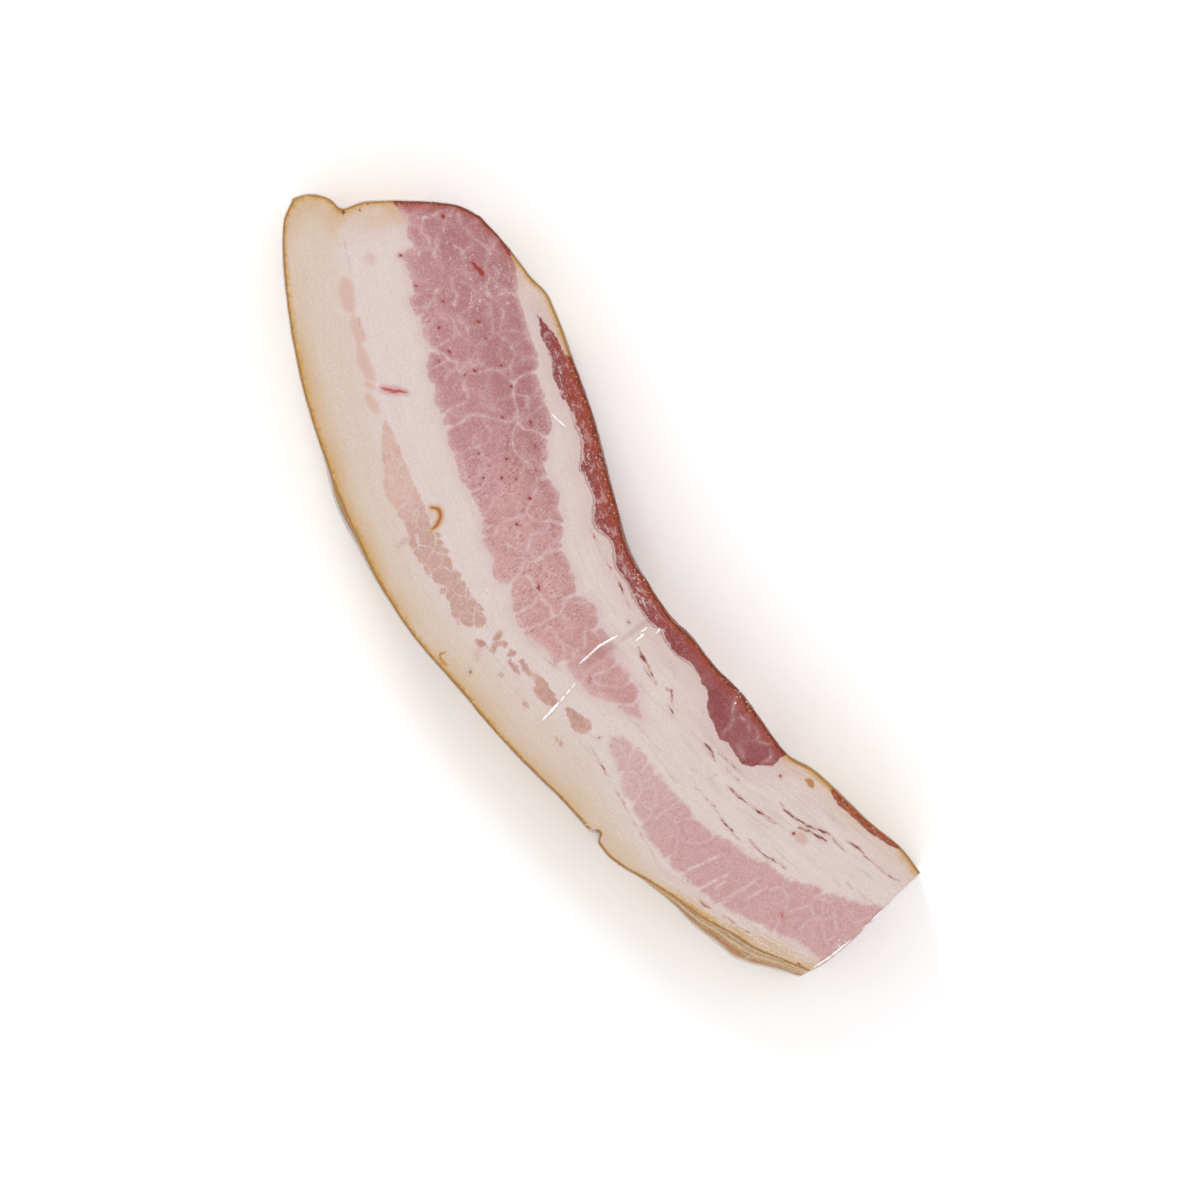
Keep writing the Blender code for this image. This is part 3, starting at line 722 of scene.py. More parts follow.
class Wire:
    """A value in a material, on which Python arithmetic adds Math nodes."""

    def __init__(self, finish, socket):
        self.finish = finish
        self.socket = socket

    def math(self, operation, *values):
        """Return the result of a Math node on the values."""
        return self.finish.node("ShaderNodeMath", {"operation": operation}, dict(enumerate(values)))

    def __add__(self, other):
        return self.math("ADD", self, other)

    def __sub__(self, other):
        return self.math("SUBTRACT", self, other)

    def __rsub__(self, other):
        return self.math("SUBTRACT", other, self)

    def __mul__(self, other):
        return self.math("MULTIPLY", self, other)

    def __truediv__(self, other):
        return self.math("DIVIDE", self, other)

    def __pow__(self, other):
        return self.math("POWER", self, other)

    __radd__ = __add__
    __rmul__ = __mul__

    def most(self, other):
        """Return the greater of this value and another."""
        return self.math("MAXIMUM", self, other)

    def least(self, other):
        """Return the smaller of this value and another."""
        return self.math("MINIMUM", self, other)

    def rise(self, low, high):
        """Return 0 where this value is under low and 1 over high, smooth between; low may be the higher."""
        inputs = {"Value": self, "From Min": low, "From Max": high}
        return self.finish.node("ShaderNodeMapRange", {"interpolation_type": "SMOOTHSTEP"}, inputs)


class Finish:
    """A material being made, with short calls for its nodes."""

    def __init__(self, name):
        self.material = bpy.data.materials.new(name)
        self.material.use_nodes = True
        self.tree = self.material.node_tree
        self.tree.nodes.clear()

    def node(self, kind, settings=None, inputs=None, output=0):
        """Add a node of a type with its settings and its sockets' values, and return an output."""
        node = self.tree.nodes.new(kind)
        for name, value in (settings or {}).items():
            setattr(node, name, value)
        for key, value in (inputs or {}).items():
            socket = node.inputs[key]
            if isinstance(value, Wire):
                self.tree.links.new(value.socket, socket)
            elif socket.type == "RGBA":
                socket.default_value = (*value, 1.0)
            else:
                socket.default_value = value
        return Wire(self, node.outputs[output]) if node.outputs else None

    def attribute(self, name, output="Fac"):
        """Return a reading that the piece's vertices carry."""
        return self.node("ShaderNodeAttribute", {"attribute_name": name}, output=output)

    def place(self):
        """Return the place on the piece in millimetres."""
        metres = self.node("ShaderNodeTexCoord", output="Object")
        return self.vector("SCALE", metres, Scale=1 / MM)

    def vector(self, operation, *values, **named):
        """Return the vector result of a Vector Math node."""
        inputs = {**dict(enumerate(values)), **named}
        return self.node("ShaderNodeVectorMath", {"operation": operation}, inputs)

    def part(self, vector, axis):
        """Return one of a vector's three numbers."""
        return self.node("ShaderNodeSeparateXYZ", inputs={"Vector": vector}, output=axis)

    def noise(self, vector, size, detail=2.0, roughness=0.5, output="Fac"):
        """Return noise whose features are about the given size in millimetres."""
        inputs = {"Vector": vector, "Scale": 1 / size, "Detail": detail, "Roughness": roughness}
        return self.node("ShaderNodeTexNoise", inputs=inputs, output=output)

    def stretched(self, vector, *factors):
        """Return a place with each of its three numbers multiplied."""
        return self.vector("MULTIPLY", vector, factors)

    def seams(self, vector, size):
        """Return the distance in millimetres to the nearest seam between cells of the given size."""
        inputs = {"Vector": vector, "Scale": 1 / size}
        return self.node("ShaderNodeTexVoronoi", {"feature": "DISTANCE_TO_EDGE"}, inputs, "Distance") * size

    def shades(self, vector, size):
        """Return a random number from 0 to 1 for each cell of the given size."""
        inputs = {"Vector": vector, "Scale": 1 / size}
        colour = self.node("ShaderNodeTexVoronoi", inputs=inputs, output="Color")
        return self.part(colour, "X")

    def mix(self, share, start, end):
        """Return a colour between two, start where the share is 0."""
        return self.node("ShaderNodeMix", {"data_type": "RGBA"}, {0: share, 6: start, 7: end}, 2)

    def bent(self, vector, size, reach, detail=1.0):
        """Return a place pushed about by noise of the given size."""
        push = self.vector("SUBTRACT", self.noise(vector, size, detail, output="Color"), (0.5, 0.5, 0.5))
        return self.vector("MULTIPLY_ADD", push, (2 * reach,) * 3, vector)



    def bump(self, height, distance, strength=1.0, normal=None):
        """Return the normal of a surface with the given height, whose full range is distance in mm."""
        inputs = {"Height": height, "Distance": distance * MM, "Strength": strength}
        if normal:
            inputs["Normal"] = normal
        return self.node("ShaderNodeBump", inputs=inputs)

    def surface(self, **inputs):
        """Return a Principled shader; an underscore in a name stands for a space."""
        named = {name.replace("_", " "): value for name, value in inputs.items()}
        return self.node("ShaderNodeBsdfPrincipled", inputs=named)

    def output(self, shader):
        """Send a shader to the material's output."""
        self.node("ShaderNodeOutputMaterial", inputs={"Surface": shader})
        return self.material


class Coat:
    """A colour of a material being built up by laying others over it, named as in the settings."""

    def __init__(self, finish, colour):
        self.finish = finish
        self.colour = self.value(colour)

    def value(self, colour):
        """Return the colour that a coat has or that a name in the settings stands for."""
        return colour.colour if isinstance(colour, Coat) else getattr(self.finish.colours, colour)

    def lay(self, share, colour):
        """Lay a colour over this one, as far as the share says."""
        self.colour = self.finish.mix(share, self.colour, self.value(colour))
        return self

    def grain(self, pattern, share, dark, light):
        """Darken this colour where a pattern about 0.5 is high and lighten it where it is low."""
        self.lay(pattern.rise(0.5, 0.72) * share, dark)
        return self.lay((1 - pattern.rise(0.28, 0.5)) * share, light)


class PorkFinish(Finish):
    """The pork's material, with the patterns that its parts share."""

    def __init__(self, colours):
        super().__init__("cured_pork")
        self.colours = colours
        self.spot = self.place()
        self.flow = self.attribute("flow", "Vector")
        self.x = self.part(self.spot, "X")
        self.depth = self.part(self.flow, "Z")
        self.rim = self.attribute("rim")
        self.section = self.stretched(self.spot, 1, 1, 0.15)
        self.warped = self.bent(self.bent(self.section, 9, 2), 1.6, 0.3, 2)
        self.bundles = self.seams(self.warped, 7.4)
        self.cobbles = self.seams(self.bent(self.bent(self.section, 4, 0.6), 1.1, 0.14), 3.6)
        self.grit = self.noise(self.spot, 0.42, 1, 0.6)
        self.fine = self.noise(self.spot, 0.7, 3)
        self.speck = self.noise(self.bent(self.spot, 2, 0.5), 1.3, 4, 0.62)
        self.broad = self.noise(self.spot, 26)
        self.cloud = self.noise(self.spot, 7, 3)
        self.sheets = self.noise(self.stretched(self.flow, 0.09, 1, 0.5), 1.5, 4, 0.65)
        self.outer = self.attribute("skinward").rise(-2, 6)
        self.strength = self.broad.rise(0.42, 0.62)
        self.broken = self.noise(self.spot, 2.2).rise(0.36, 0.62)
        # The drawn seams, which stand out most in the tall bundles near the cut end
        self.tall = self.x.rise(68, 78) * (1 - self.x.rise(90, 96))
        self.drawn = self.attribute("seam") + self.shake(0.9, 2, 0.6) * 0.8 + self.shake(2.9, 1) * 0.6 - 0.16
        self.drawn = self.drawn + 0.1 * self.tall + 0.1 * (1 - self.x.rise(28, 40))
        self.shaded = self.drawn.rise(-2.2, -0.5) * (1 - self.drawn.rise(-0.45, -0.1))

    def coat(self, colour):
        """Return a coat that starts with a named colour."""
        return Coat(self, colour)

    def shake(self, size, detail=2.0, roughness=0.5):
        """Return noise about 0 at the place on the piece."""
        return self.noise(self.spot, size, detail, roughness) - 0.5

    def layer_place(self, reach, along, across, down):
        """Return a place that runs along the spread layers in X and across them in Y."""
        inputs = {"X": self.part(self.flow, "X") * along, "Y": reach * across + self.depth * down}
        return self.node("ShaderNodeCombineXYZ", inputs=inputs)


def lean_masks(f):
    """Return how much each muscle covers, from 0 to 1, with lobes where its bundles end."""
    ragged = f.shake(1.1, 3, 0.6)
    torn = f.shake(3.4, 3)
    lobe = (f.bundles / 1.7).least(1) ** 0.45 * 1.7 - 1.35
    small_lobe = (f.cobbles / 1.1).least(1) ** 0.45 * 1.1 - 0.85
    notch = f.attribute("seam").rise(-0.75, 0.1) * 0.8
    tip = f.x.rise(-62, -15)
    main = f.attribute("main") + lobe * (0.2 + 0.3 * tip) + small_lobe * (0.5 - 0.3 * tip)
    small_streak = small_lobe * (0.4 + 0.7 * f.x.rise(-36, -28))
    # Each muscle's depth inside its border, and half the width of that border
    borders = {
        "main": (main + ragged * 0.6 - notch, 0.34),
        "lower": (f.attribute("lower") + small_lobe * 0.7 + ragged * 1.3 - notch * 0.7, 0.8),
        "edge": (f.attribute("edge") + torn * 2.2 + ragged * 0.9, 0.18),
        "streak": (f.attribute("streak") + small_streak + ragged * 1.2, 0.3),
        "strips": (f.attribute("strips") + ragged * 1.6, 0.7),
        "islands": (f.attribute("islands") + ragged * 1.9 + torn * 0.8, 0.35),
    }
    masks = {name: depth.rise(-width, width) for name, (depth, width) in borders.items()}
    return {**masks, "inside": borders["main"][0].rise(0.1, 2)}


def fat_coat(f):
    """Return the fat: pinker inside, creamy towards the skin, in sheets that spread near the cut end."""
    fat = f.coat("fat_inner").lay(f.outer, "fat_outer").lay(f.cloud.rise(0.3, 0.75) * 0.22, "fat_outer")
    layered = f.x.rise(-20, 20) * (1 - f.outer)
    fat.lay(f.sheets.rise(0.52, 0.78) * (0.06 + 0.2 * layered), "crack")
    fat.lay((1 - f.sheets.rise(0.3, 0.46)) * (0.06 + 0.1 * f.x.rise(30, 90)), "film_crease")
    fat.lay(f.noise(f.spot, 12).rise(0.45, 0.7) * 0.1 * layered, "main_light")
    head = 1 - f.part(f.flow, "X").rise(1, 15)
    fat.lay(head * f.cloud.rise(0.2, 0.6) * 0.4, "fat_gold")
    spread = f.x.rise(72, 92) * (f.attribute("skinward") + 2.4 * f.x.rise(90, 104)).rise(-1, 2.5)
    fibres = f.noise(f.stretched(f.bent(f.flow, 6, 1), 0.1, 1, 0.3), 0.7, 3, 0.65)
    fat.lay(spread * f.sheets.rise(0.4, 0.62) * 0.45, "fat_gold")
    fat.grain(fibres, 0.06 + 0.42 * spread, "fat_gold", "film_crease")
    fat.grain(f.speck, 0.06, "main_dark", "film_crease")
    fat.grain(f.grit, 0.11 + 0.2 * spread, "rind_dark", "film_crease")
    rosy = f.attribute("edge").rise(-7, -0.4).most(f.attribute("main").rise(-3, 0) * 0.8)
    fat.lay(rosy * (1 - f.outer) * 0.2, "main_dark")
    return fat.lay(f.attribute("blush").rise(-1.2, 0.8) * 0.2, "slit")


def main_coat(f, inside):
    """Return the main muscle: bundles with pale seams, darker towards the meat side."""
    head_end = 1 - f.x.rise(-62, -40)
    lean = f.coat("main_dark")
    lean.lay(f.x.rise(-50, -5), "main_light")
    lean.lay(f.cloud.rise(0.35, 0.75) * (0.1 - 0.05 * head_end), "edge_lean")
    lean.lay(f.shades(f.warped, 8).rise(0.35, 1) * (0.16 - 0.1 * head_end), "main_light")
    lean.lay(f.shaded * 0.12, "edge_lean")
    across = f.part(f.spot, "Y") + f.x * 0.23
    lean.lay(across.rise(-4, 8) * (0.34 - 0.26 * f.x.rise(12, 26)), "edge_lean")
    lean.lay((1 - inside) * 0.34, "seam")
    pale = f.noise(f.bent(f.section, 5, 1.5, 3), 4.5, 3, 0.55)
    lean.lay(pale.rise(0.5, 0.66) * 0.16, "seam")
    lean.lay((1 - f.bundles.rise(0, 1.3)) * 0.15 * f.broad.rise(0.35, 0.6), "seam")
    width = (f.noise(f.spot, 2.6, 3) - 0.47) * 2.2
    seam = (1 - (f.bundles - width.most(0)).rise(0, 0.18)) * (0.06 + 0.28 * f.strength * f.broken)
    stars = f.noise(f.bent(f.section, 2, 0.8), 1.5, 4, 0.62).rise(0.6, 0.66) * head_end
    seam = seam.most(stars * 0.8 * f.cloud.rise(0.38, 0.56))
    minor = (1 - f.cobbles.rise(0, 0.2)) * 0.2 * f.cloud.rise(0.42, 0.6) * f.broken
    lean.lay(seam.most(minor), "seam")
    lean.grain(f.speck, 0.07, "edge_lean", "seam").grain(f.grit, 0.22, "edge_lean", "seam")
    # Pale and dark dashes over the lean: partly its fine texture, partly painted highlights and shade of the
    # film's fine wrinkles
    wrinkled_area = f.x.rise(-50, -34) * (1 - f.x.rise(8, 24)) * f.noise(f.spot, 5, 1).rise(0.36, 0.6)
    texture_and_wrinkle_shading = f.noise(f.stretched(f.warped, 1, 0.55, 1), 0.6, 1)
    lean.lay(texture_and_wrinkle_shading.rise(0.56, 0.68) * wrinkled_area * 0.36, "edge_lean")
    return lean.lay((1 - texture_and_wrinkle_shading.rise(0.32, 0.44)) * wrinkled_area * 0.38, "seam")


def lower_coat(f):
    """Return the pale muscle towards the cut end, with its fine white hairs."""
    low = f.coat("lower_lean")
    low.lay(f.cloud.rise(0.3, 0.7) * 0.35, "main_light").lay(f.shaded * 0.1, "edge_lean")
    low.lay((1 - f.cobbles.rise(0.02, 0.2)) * (0.05 + 0.34 * f.strength * f.broken), "seam")
    low.lay((1 - f.x.rise(50, 72)) * 0.28, "fat_inner")
    hairs = f.noise(f.stretched(f.warped, 1, 0.2, 1), 0.9).rise(0.6, 0.7)
    low.lay(hairs * f.cloud.rise(0.4, 0.6) * 0.45, "seam")
    return low.grain(f.speck, 0.05, "main_dark", "seam").grain(f.grit, 0.24, "edge_lean", "seam")


def edge_coat(f):
    """Return the dark muscle along the meat side, marbled in its middle and calm near the cut end."""
    calm = f.x.rise(28, 38)
    marbling = f.seams(f.bent(f.section, 3, 1.5, 2), 6)
    marbled = f.x.rise(-52, -44) * (1 - 0.4 * f.x.rise(-8, 4)) * (1 - f.x.rise(18, 28))
    vein = (1 - marbling.rise(0.02, 0.45)) * f.noise(f.spot, 4).rise(0.44, 0.66) * (1 - 0.4 * calm)
    wisps = f.noise(f.stretched(f.bent(f.flow, 5, 1.4), 0.42, 1, 0.3), 1.5, 4, 0.64) + marbled * 0.02
    wisps = wisps.rise(0.53, 0.62) * (f.cloud.rise(0.5, 0.64) * (1 - calm) + marbled).least(1)
    dark = f.coat("edge_lean").lay(f.cloud.rise(0.35, 0.7) * 0.24, "crust")
    dark.lay(wisps.most(vein * 0.7) * (0.5 + 0.15 * marbled + 0.3 * f.x.rise(-6, 2)).least(0.8), "seam")
    dark.grain(f.speck, 0.12, "crust_dark", "seam").grain(f.grit, 0.22, "crust_dark", "seam")
    return dark.lay(calm * 0.6, f.coat("edge_lean").lay(f.cloud.rise(0.35, 0.65) * 0.12, "seam"))


def streak_coat(f):
    """Return the thin muscle in the fat of the skin side, cobbled in its browner part."""
    cobbled = f.x.rise(-40, -28)
    thin = f.coat("streak_salmon").lay(cobbled, "streak_brown")
    thin.lay(f.cloud.rise(0.5, 0.72) * 0.25, "main_dark").lay(f.speck.rise(0.48, 0.66) * 0.3, "fat_inner")
    gaps = 0.26 * f.cloud.rise(0.3, 0.6) + 0.44 * cobbled * f.noise(f.spot, 2.2).rise(0.36, 0.6)
    thin.lay((1 - f.cobbles.rise(0, 0.3)) * gaps, "fat_inner")
    return thin.grain(f.grit, 0.16, "main_dark", "film_crease")


def lay_muscles(f, face, masks):
    """Lay the muscles over the fat of the cut face."""
    islands = f.coat("streak_brown").lay(f.cloud.rise(0.3, 0.7) * 0.5, "streak_salmon")
    islands.lay(f.speck.rise(0.4, 0.62) * 0.25, "edge_lean")
    face.lay(masks["streak"], streak_coat(f)).lay(masks["strips"] * 0.85, "streak_salmon")
    face.lay(masks["islands"], islands).lay(masks["lower"], lower_coat(f))
    face.lay(masks["main"], main_coat(f, masks["inside"]))
    near_edge = f.attribute("edge") + f.shake(3.4, 3) * 2.2
    membrane = near_edge.rise(-0.75, -0.5) * (1 - near_edge.rise(-0.3, -0.1))
    face.lay(membrane * f.x.rise(-36, -28) * (1 - f.x.rise(34, 42)) * 0.5, "edge_lean")
    face.lay(masks["edge"], edge_coat(f))


def lay_marks(f, face):
    """Lay the listed marks: painted shade by the film's folds, seams, slits, blood, cracks and smoke marks.
    """
    # Painted shade: darker bands beside the film's folds
    face.lay(f.attribute("fold").rise(-0.5, 0.6) * 0.24, "edge_lean")
    gappy = f.noise(f.spot, 2.4).rise(0.34, 0.58)
    face.lay(f.drawn.rise(-1.1, 0.1) * 0.16, "seam")
    face.lay(f.drawn.rise(-0.08, 0.18) * (0.08 + (0.5 + 0.2 * f.tall) * gappy), "seam")
    slit = f.attribute("slit") + (f.fine - 0.5) * 0.3
    face.lay(slit.rise(-1.3, 0.1) * 0.3, "slit").lay(slit.rise(-0.1, 0.25) * 0.85, "slit")
    blood = f.attribute("blood") + (f.fine - 0.5) * 0.45 - 0.03
    face.lay(blood.rise(-1, 0.1) * 0.25, "edge_lean").lay(blood.rise(-0.12, 0.16) * 0.92, "blood")
    frayed = f.noise(f.stretched(f.flow, 0.35, 1, 0.3), 0.8, 4, 0.65) - 0.5
    crack = f.attribute("crack") + frayed * 1.6 + f.shake(3, 1) * 0.9 - 0.26
    face.lay(crack.rise(-0.8, 0.1) * 0.34, "streak_brown").lay(crack.rise(-0.35, 0.1) * 0.3, "crust")
    # The dark core of each crack: its brown colour darkened as painted shade in the groove
    face.lay(crack.rise(-0.06, 0.2) * (0.5 + 0.45 * f.speck.rise(0.36, 0.58)), "crack")
    hook = f.attribute("hook")
    face.lay(hook.rise(-1.6, 0.1) ** 1.5 * 0.75, "fat_gold").lay(hook.rise(-0.25, 0.25) * 0.9, "hook")
    curl = f.attribute("curl") + (f.speck - 0.5) * 1.2
    face.lay(curl.rise(-0.3, 0.25) * 0.7, "fat_gold").lay(curl.rise(-0.15, 0.4) * 0.55, "crust")


def lay_rim(f, face, meat):
    """Lay the smoked rim of the cut face: golden over fat, brown crust over meat, and smoke stains."""
    fatty = 1 - meat
    uneven = f.noise(f.spot, 6, 3)
    hazy = f.x.rise(-100, -84) * (1 - f.x.rise(-34, -14)) * f.attribute("skinward").rise(0, 6)
    haze = (0.2 + 0.5 * f.broad.rise(0.3, 0.7)) * (0.75 + 0.25 * f.outer) + 0.3 * hazy
    face.lay((1 - f.rim / 8).most(0) ** 1.5 * haze * fatty, "fat_gold")
    narrow = 1 + 1.1 * f.x.rise(20, 36) * (1 - f.x.rise(76, 82)) + 1.4 * f.x.rise(90, 96)
    glow = 1 - (f.rim * narrow - uneven * 1.5 + (f.fine - 0.5) * 1.2).rise(-0.9, 1)
    # Pale flecks in the golden rim, partly painted glints
    face.lay(glow * fatty * 0.92, "fat_gold").grain(f.speck, glow * fatty * 0.6, "rind_dark", "fleck_and_glint")
    gilt = f.attribute("gold") + (f.speck - 0.5) * 2
    face.lay(gilt.rise(-0.7, 0.7) * fatty * 0.6, "fat_gold")

    char = f.noise(f.stretched(f.flow, 0.5, 1, 0.4), 1, 4, 0.65)
    scorched = f.coat("crust").lay(char.rise(0.48, 0.62), "crust_dark")
    toasted = Coat(f, scorched).lay((1 - char.rise(0.32, 0.44)) * 0.7, "hook")
    # Pale flecks in the smoked crust, partly painted glints
    toasted.lay(f.fine.rise(0.56, 0.66) * 0.6, "fleck_and_glint")
    deep = 1 + f.x.rise(-46, -38) * (1 - f.x.rise(-6, 12))
    redness = (1 - (f.rim / deep - uneven * 4).rise(-1.6, 2)) ** 1.2
    face.lay(redness * meat * 0.6, "crust")
    burn = 1 - (f.rim / deep - uneven * 3 + f.fine * 1.2).rise(-0.7, 0.1)
    face.lay(burn * meat * 0.9, toasted)
    line = 1 - (f.rim - f.fine * 0.5).rise(-0.35, 0.2)
    face.lay(line * 0.7, f.coat("rind_dark").lay(meat, "crust_dark"))
    stain = f.attribute("stain") + (uneven - 0.5) * 1.2 + (f.fine - 0.5) * 0.8
    face.lay(stain.rise(-0.2, 0.25) * 0.92, Coat(f, scorched).lay(0.45, toasted))


def spread_coat(f, rind):
    """Return the spread layers of the skin side: orange outer edge, strata, painted shade and highlights."""
    reach = f.attribute("reach")
    bedding = f.layer_place(reach, 0.07, 5.5, 0.3)
    strata = f.noise(bedding, 0.42, 3, 0.65)
    tone = f.noise(f.stretched(bedding, 1, 0.5, 1), 1.6)
    threads = f.noise(f.layer_place(reach, 0.09, 8, 0.5), 0.5, 4, 0.7)
    layers = f.coat("layer").lay(tone.rise(0.42, 0.62) * 0.6, "rind")
    # Dark and pale strata, partly the layers' own colour and partly painted shade and highlights between them
    layers.lay(strata.rise(0.46, 0.64) * 0.5, "crevice_shade_and_strata")
    layers.lay((1 - strata.rise(0.36, 0.48)) * 0.9, "fleck_and_glint")
    layers.lay(threads.rise(0.52, 0.62) * 0.75, "crevice_shade_and_strata")
    layers.lay((1 - threads.rise(0.38, 0.48)) * 0.85, "streak_salmon")
    layers.lay((1 - f.x.rise(84, 99)) * 0.5, "rind_dark")
    layers.lay(reach.rise(0.62, 0.9) * (1 - f.depth.rise(11, 17)) * 0.75, "hook")
    layers.lay(reach.rise(0.78, 0.94) * 0.45, "fat_gold").lay(f.depth.rise(14, 22) * 0.7, rind)
    # Painted highlights: two pale lines along the lips of the layers
    lip_highlight = reach.rise(0.1, 0.16) * (1 - reach.rise(0.2, 0.3))
    lip_highlight = lip_highlight + reach.rise(0.4, 0.45) * (1 - reach.rise(0.5, 0.6))
    layers.lay(lip_highlight * 0.6, "fleck_and_glint")
    # Painted shade: the crevice just under the cut face's edge is darkened
    gap = f.coat("crevice_shade_and_strata").lay(0.4, "crust_dark")
    return layers.lay((1 - reach.rise(0, 0.1)) * f.depth.rise(0.8, 1.6) * 0.9, gap), strata


def side_coat(f, stains, pores):
    """Return the smoked sides, golden over fat and brown over meat, with their strata."""
    strands = f.noise(f.stretched(f.bent(f.flow, 8, 2), 0.16, 1, 0.7), 1.6, 4, 0.62)
    rind = f.coat("rind").lay(stains.rise(0.35, 0.75) * 0.8, "rind_dark")
    rind.lay(strands.rise(0.46, 0.7) * 0.5, "rind_dark").lay((1 - pores.rise(0, 0.25)) * 0.14, "crust")
    rind.lay(f.depth.rise(18, 34) * 0.35, "crust").grain(f.grit, 0.2, "rind_dark", "fleck_and_glint")
    crust = f.coat("crust").lay(strands.rise(0.4, 0.66) * 0.8, "crust_dark")
    crust.lay((1 - strands.rise(0.3, 0.42)) * 0.6, "hook").grain(f.grit, 0.3, "crust_dark", "rind")
    meaty = f.attribute("main").most(f.attribute("edge")) + (stains - 0.5) * 8 + (f.speck - 0.5) * 3
    layers, strata = spread_coat(f, rind)
    sides = Coat(f, rind).lay(meaty.rise(-1.2, 1.2), crust)
    return sides.lay(f.attribute("flare").rise(0.1, 0.45), layers), strata


def pork_finish(colours):
    """Make the pork's material: fat and muscles, the marks on them, and the smoked rim and sides."""
    f = PorkFinish(colours)
    masks = lean_masks(f)
    meat = masks["main"].most(masks["edge"]).most(masks["lower"])
    face = fat_coat(f)
    lay_muscles(f, face, masks)
    lay_marks(f, face)
    lay_rim(f, face, meat)
    stains = f.noise(f.stretched(f.spot, 0.5, 0.8, 1), 9, 4, 0.55)
    pores = f.seams(f.bent(f.spot, 2.5, 1, 2), 1.9)
    sides, strata = side_coat(f, stains, pores)
    wall = 1 - f.rim.rise(-0.35, -0.05)
    face.lay(wall, sides)

    # The ragged masks would slow the render here, and the plain outlines give the same relief
    muscle = f.attribute("main").most(f.attribute("edge")).most(f.attribute("lower")).rise(-0.4, 0.4)
    fibre = f.noise(f.section, 0.5, 3) * 0.5 + f.bundles.least(0.5) * muscle * 0.5
    normal = f.bump(fibre, 0.12, 0.6)
    normal = f.bump(f.sheets * (1 - wall), 0.14, 0.6, normal)
    normal = f.bump((stains + pores.least(0.4)) * wall, 0.7, 0.7, normal)
    normal = f.bump(strata * f.attribute("flare"), 0.5, 0.8, normal)
    roughness = 0.46 + 0.1 * f.fine - 0.08 * meat + 0.06 * wall
    shader = f.surface(Base_Color=face.colour, Roughness=roughness, Normal=normal, Specular_IOR_Level=0.3)
    return f.output(shader)


def film_finish(colours):
    """Make the film's material: clear, with its gloss, and painted white highlights where it is creased."""
    f = Finish("clear_film")
    spot = f.place()
    # Masks for painted white highlights: at the creases, where they also stand for the film's own whitening,
    # as specks in the glint patches, and along the pleat ridges of the sides
    crease = f.attribute("crease") + (f.noise(spot, 1.4) - 0.5) * 0.5
    glint_specks = f.noise(spot, 0.6).rise(0.6, 0.7) * f.attribute("glint")
    flow = f.attribute("flow", "Vector")
    side = f.part(flow, "Z").rise(0.5, 3)
    pleats = f.noise(f.stretched(f.bent(flow, 9, 2), 1, 0.6, 0.13), 3, 3, 0.6)
    pleat_highlight = pleats.rise(0.58, 0.66) * (1 - pleats.rise(0.66, 0.72)) * side
    # All the painted highlights together, which make the film white and opaque there
    white = crease.rise(-0.18, 0.14).most(glint_specks).most(pleat_highlight * 0.3)
    facing = f.node("ShaderNodeLayerWeight", inputs={"Blend": 0.5}, output="Facing")
    wrinkles = f.noise(f.stretched(flow, 0.5, 1, 0.3), 3.5, 3, 0.55)
    normal = f.bump(pleats * side, 2.4, 0.7, f.bump(wrinkles, 0.5, 0.4))
    shine = f.surface(
        Base_Color=colours.film_crease, Metallic=1 - white, Roughness=0.1 + 0.25 * white, Normal=normal,
    )
    clear = f.node("ShaderNodeBsdfTransparent", inputs={"Color": FILM_CLEAR})
    share = (0.012 + 0.13 * facing ** 4).most(white * 0.75)
    return f.output(f.node("ShaderNodeMixShader", inputs={0: share, 1: clear, 2: shine}))


def floor_finish(colour):
    """Make the floor's material: plain and pale."""
    f = Finish("pale_floor")
    grain = f.noise(f.place(), 2)
    return f.output(f.surface(Base_Color=colour, Roughness=0.75 + 0.1 * grain, Specular_IOR_Level=0.2))


# ---------------------------------------------------------------- operators

class BACON_OT_add_pork(bpy.types.Operator):
    """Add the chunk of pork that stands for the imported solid"""

    bl_idname = "bacon.add_pork"
    bl_label = "Add pork"

    def execute(self, context):
        sizes = context.scene.bacon_sizes
        form = SlabForm(PORK_ROWS, sizes.edge_round / MM)
        piece = finish_mesh(
            pork_mesh(form), "pork", form, lambda form, box: pork_shape(form, box, sizes), sharp=62.0
        )
        piece.data.materials.append(pork_finish(context.scene.bacon_colours))
        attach(piece, "root")
        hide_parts(NODE)
        return {"FINISHED"}


class BACON_OT_add_film(bpy.types.Operator):
    """Add the clear film that is drawn over the pork"""

    bl_idname = "bacon.add_film"
    bl_label = "Add film"

    def execute(self, context):
        sizes = context.scene.bacon_sizes
        form = SlabForm(FILM_ROWS, FILM_ROUND)
        piece = finish_mesh(
            film_mesh(form), "film", form, lambda form, box: film_shape(form, box, sizes), sharp=80.0
        )
        piece.data.materials.append(film_finish(context.scene.bacon_colours))
        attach(piece, "root")
        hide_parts(NODE)
        return {"FINISHED"}


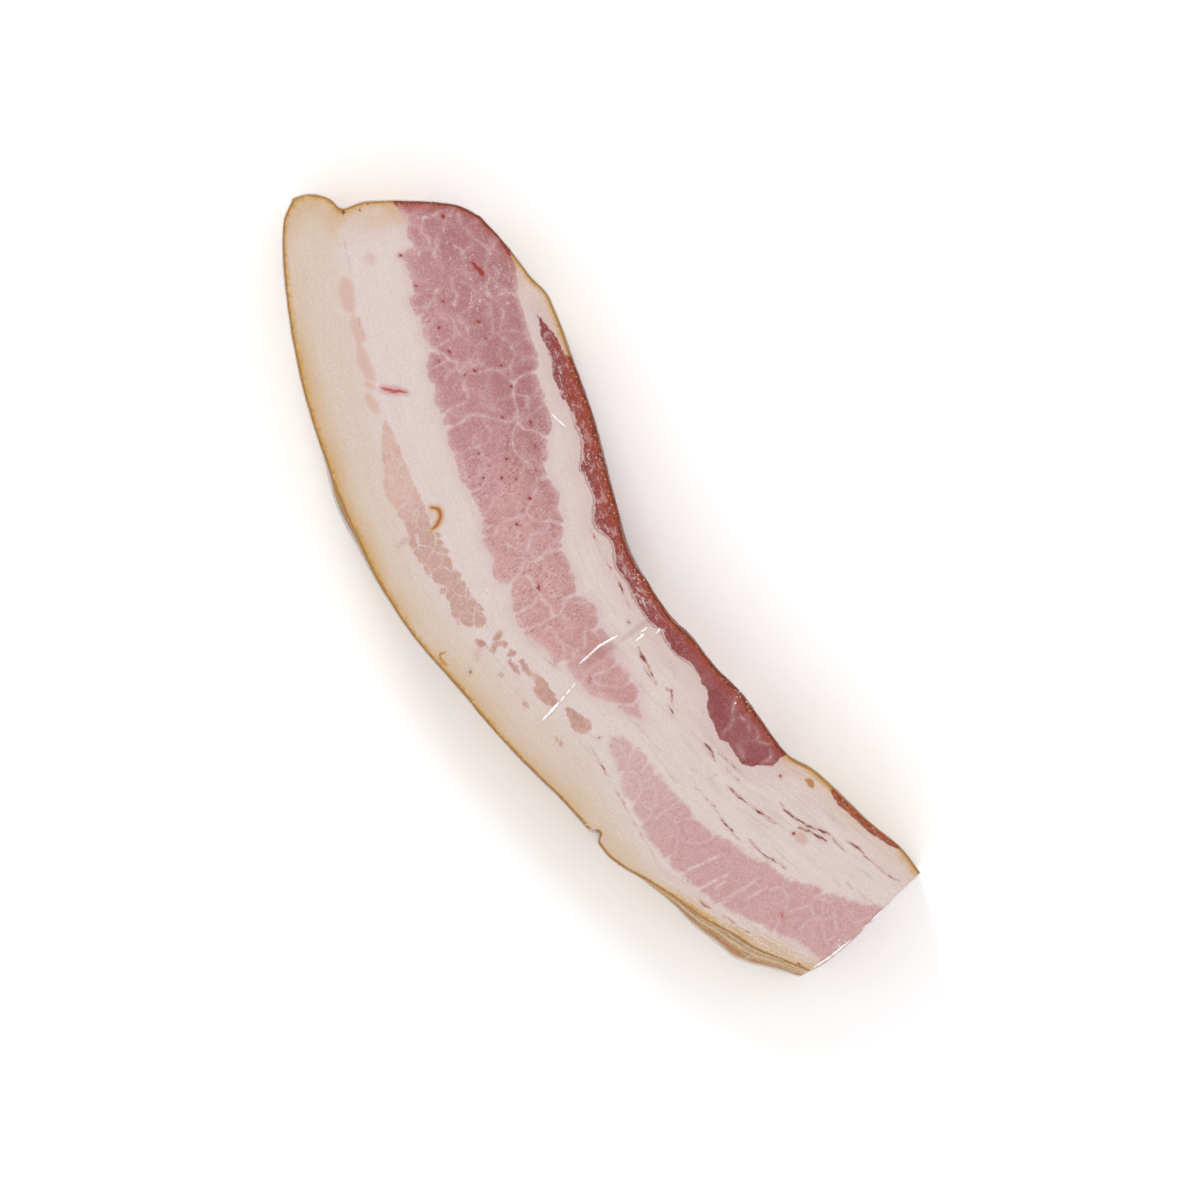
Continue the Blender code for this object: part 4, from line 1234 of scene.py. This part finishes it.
class BACON_OT_set_studio(bpy.types.Operator):
    """Add the floor, the lights and the camera"""

    bl_idname = "bacon.set_studio"
    bl_label = "Set up studio"

    def execute(self, context):
        scene = context.scene
        studio = scene.bacon_studio
        mesh = bmesh.new()
        bmesh.ops.create_grid(mesh, x_segments=1, y_segments=1, size=3.0)
        data = bpy.data.meshes.new("floor")
        mesh.to_mesh(data)
        mesh.free()
        data.materials.append(floor_finish(studio.floor_colour))
        floor = bpy.data.objects.new("floor", data)
        floor.location.z = -0.0002
        scene.collection.objects.link(floor)

        for name, power, spot, size in (
            ("key_light", studio.key_power, KEY_SPOT, 0.3), ("fill_light", studio.fill_power, FILL_SPOT, 0.9),
        ):
            lamp = bpy.data.lights.new(name, "AREA")
            lamp.energy = power
            lamp.size = size
            light = bpy.data.objects.new(name, lamp)
            light.location = spot
            light.rotation_euler = (-Vector(spot)).to_track_quat("-Z", "Y").to_euler()
            scene.collection.objects.link(light)

        world = bpy.data.worlds.new("studio")
        world.use_nodes = True
        world.node_tree.nodes["Background"].inputs["Color"].default_value = (1.0, 1.0, 1.0, 1.0)
        world.node_tree.nodes["Background"].inputs["Strength"].default_value = studio.sky
        scene.world = world
        scene.view_settings.view_transform = "Standard"

        lens = bpy.data.cameras.new("camera")
        lens.sensor_width = 36.0
        lens.lens = lens.sensor_width * studio.camera_height / studio.view_width
        camera = bpy.data.objects.new("camera", lens)
        camera.location = (*(number * MM for number in VIEW_MIDDLE), SLAB_HEIGHT + studio.camera_height)
        camera.rotation_euler = (0.0, 0.0, studio.camera_turn)
        scene.collection.objects.link(camera)
        scene.camera = camera
        return {"FINISHED"}


class BACON_PT_panel(bpy.types.Panel):
    """Lists the pieces and the studio in the sidebar"""

    bl_idname = "BACON_PT_panel"
    bl_label = "Slab bacon"
    bl_space_type = "VIEW_3D"
    bl_region_type = "UI"
    bl_category = "Bacon"

    def draw(self, context):
        for operator in OPERATORS:
            self.layout.operator(operator.bl_idname)
        for name, group in SETTINGS.items():
            for setting in group.__annotations__:
                self.layout.prop(getattr(context.scene, name), setting)


OPERATORS = (BACON_OT_add_pork, BACON_OT_add_film, BACON_OT_set_studio)
SETTINGS = {"bacon_sizes": BaconSizes, "bacon_colours": BaconColours, "bacon_studio": StudioSettings}


def register():
    """Register the settings, the operators and the panel."""
    for cls in (*SETTINGS.values(), *OPERATORS, BACON_PT_panel):
        bpy.utils.register_class(cls)
    for name, group in SETTINGS.items():
        setattr(bpy.types.Scene, name, bpy.props.PointerProperty(type=group))


def unregister():
    """Take away what register added."""
    for name in SETTINGS:
        delattr(bpy.types.Scene, name)
    for cls in (BACON_PT_panel, *reversed(OPERATORS), *reversed(SETTINGS.values())):
        bpy.utils.unregister_class(cls)


def main():
    """Make the whole scene."""
    register()
    for operator in OPERATORS:
        group, name = operator.bl_idname.split(".")
        getattr(getattr(bpy.ops, group), name)()
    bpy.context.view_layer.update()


if __name__ == "__main__":
    main()
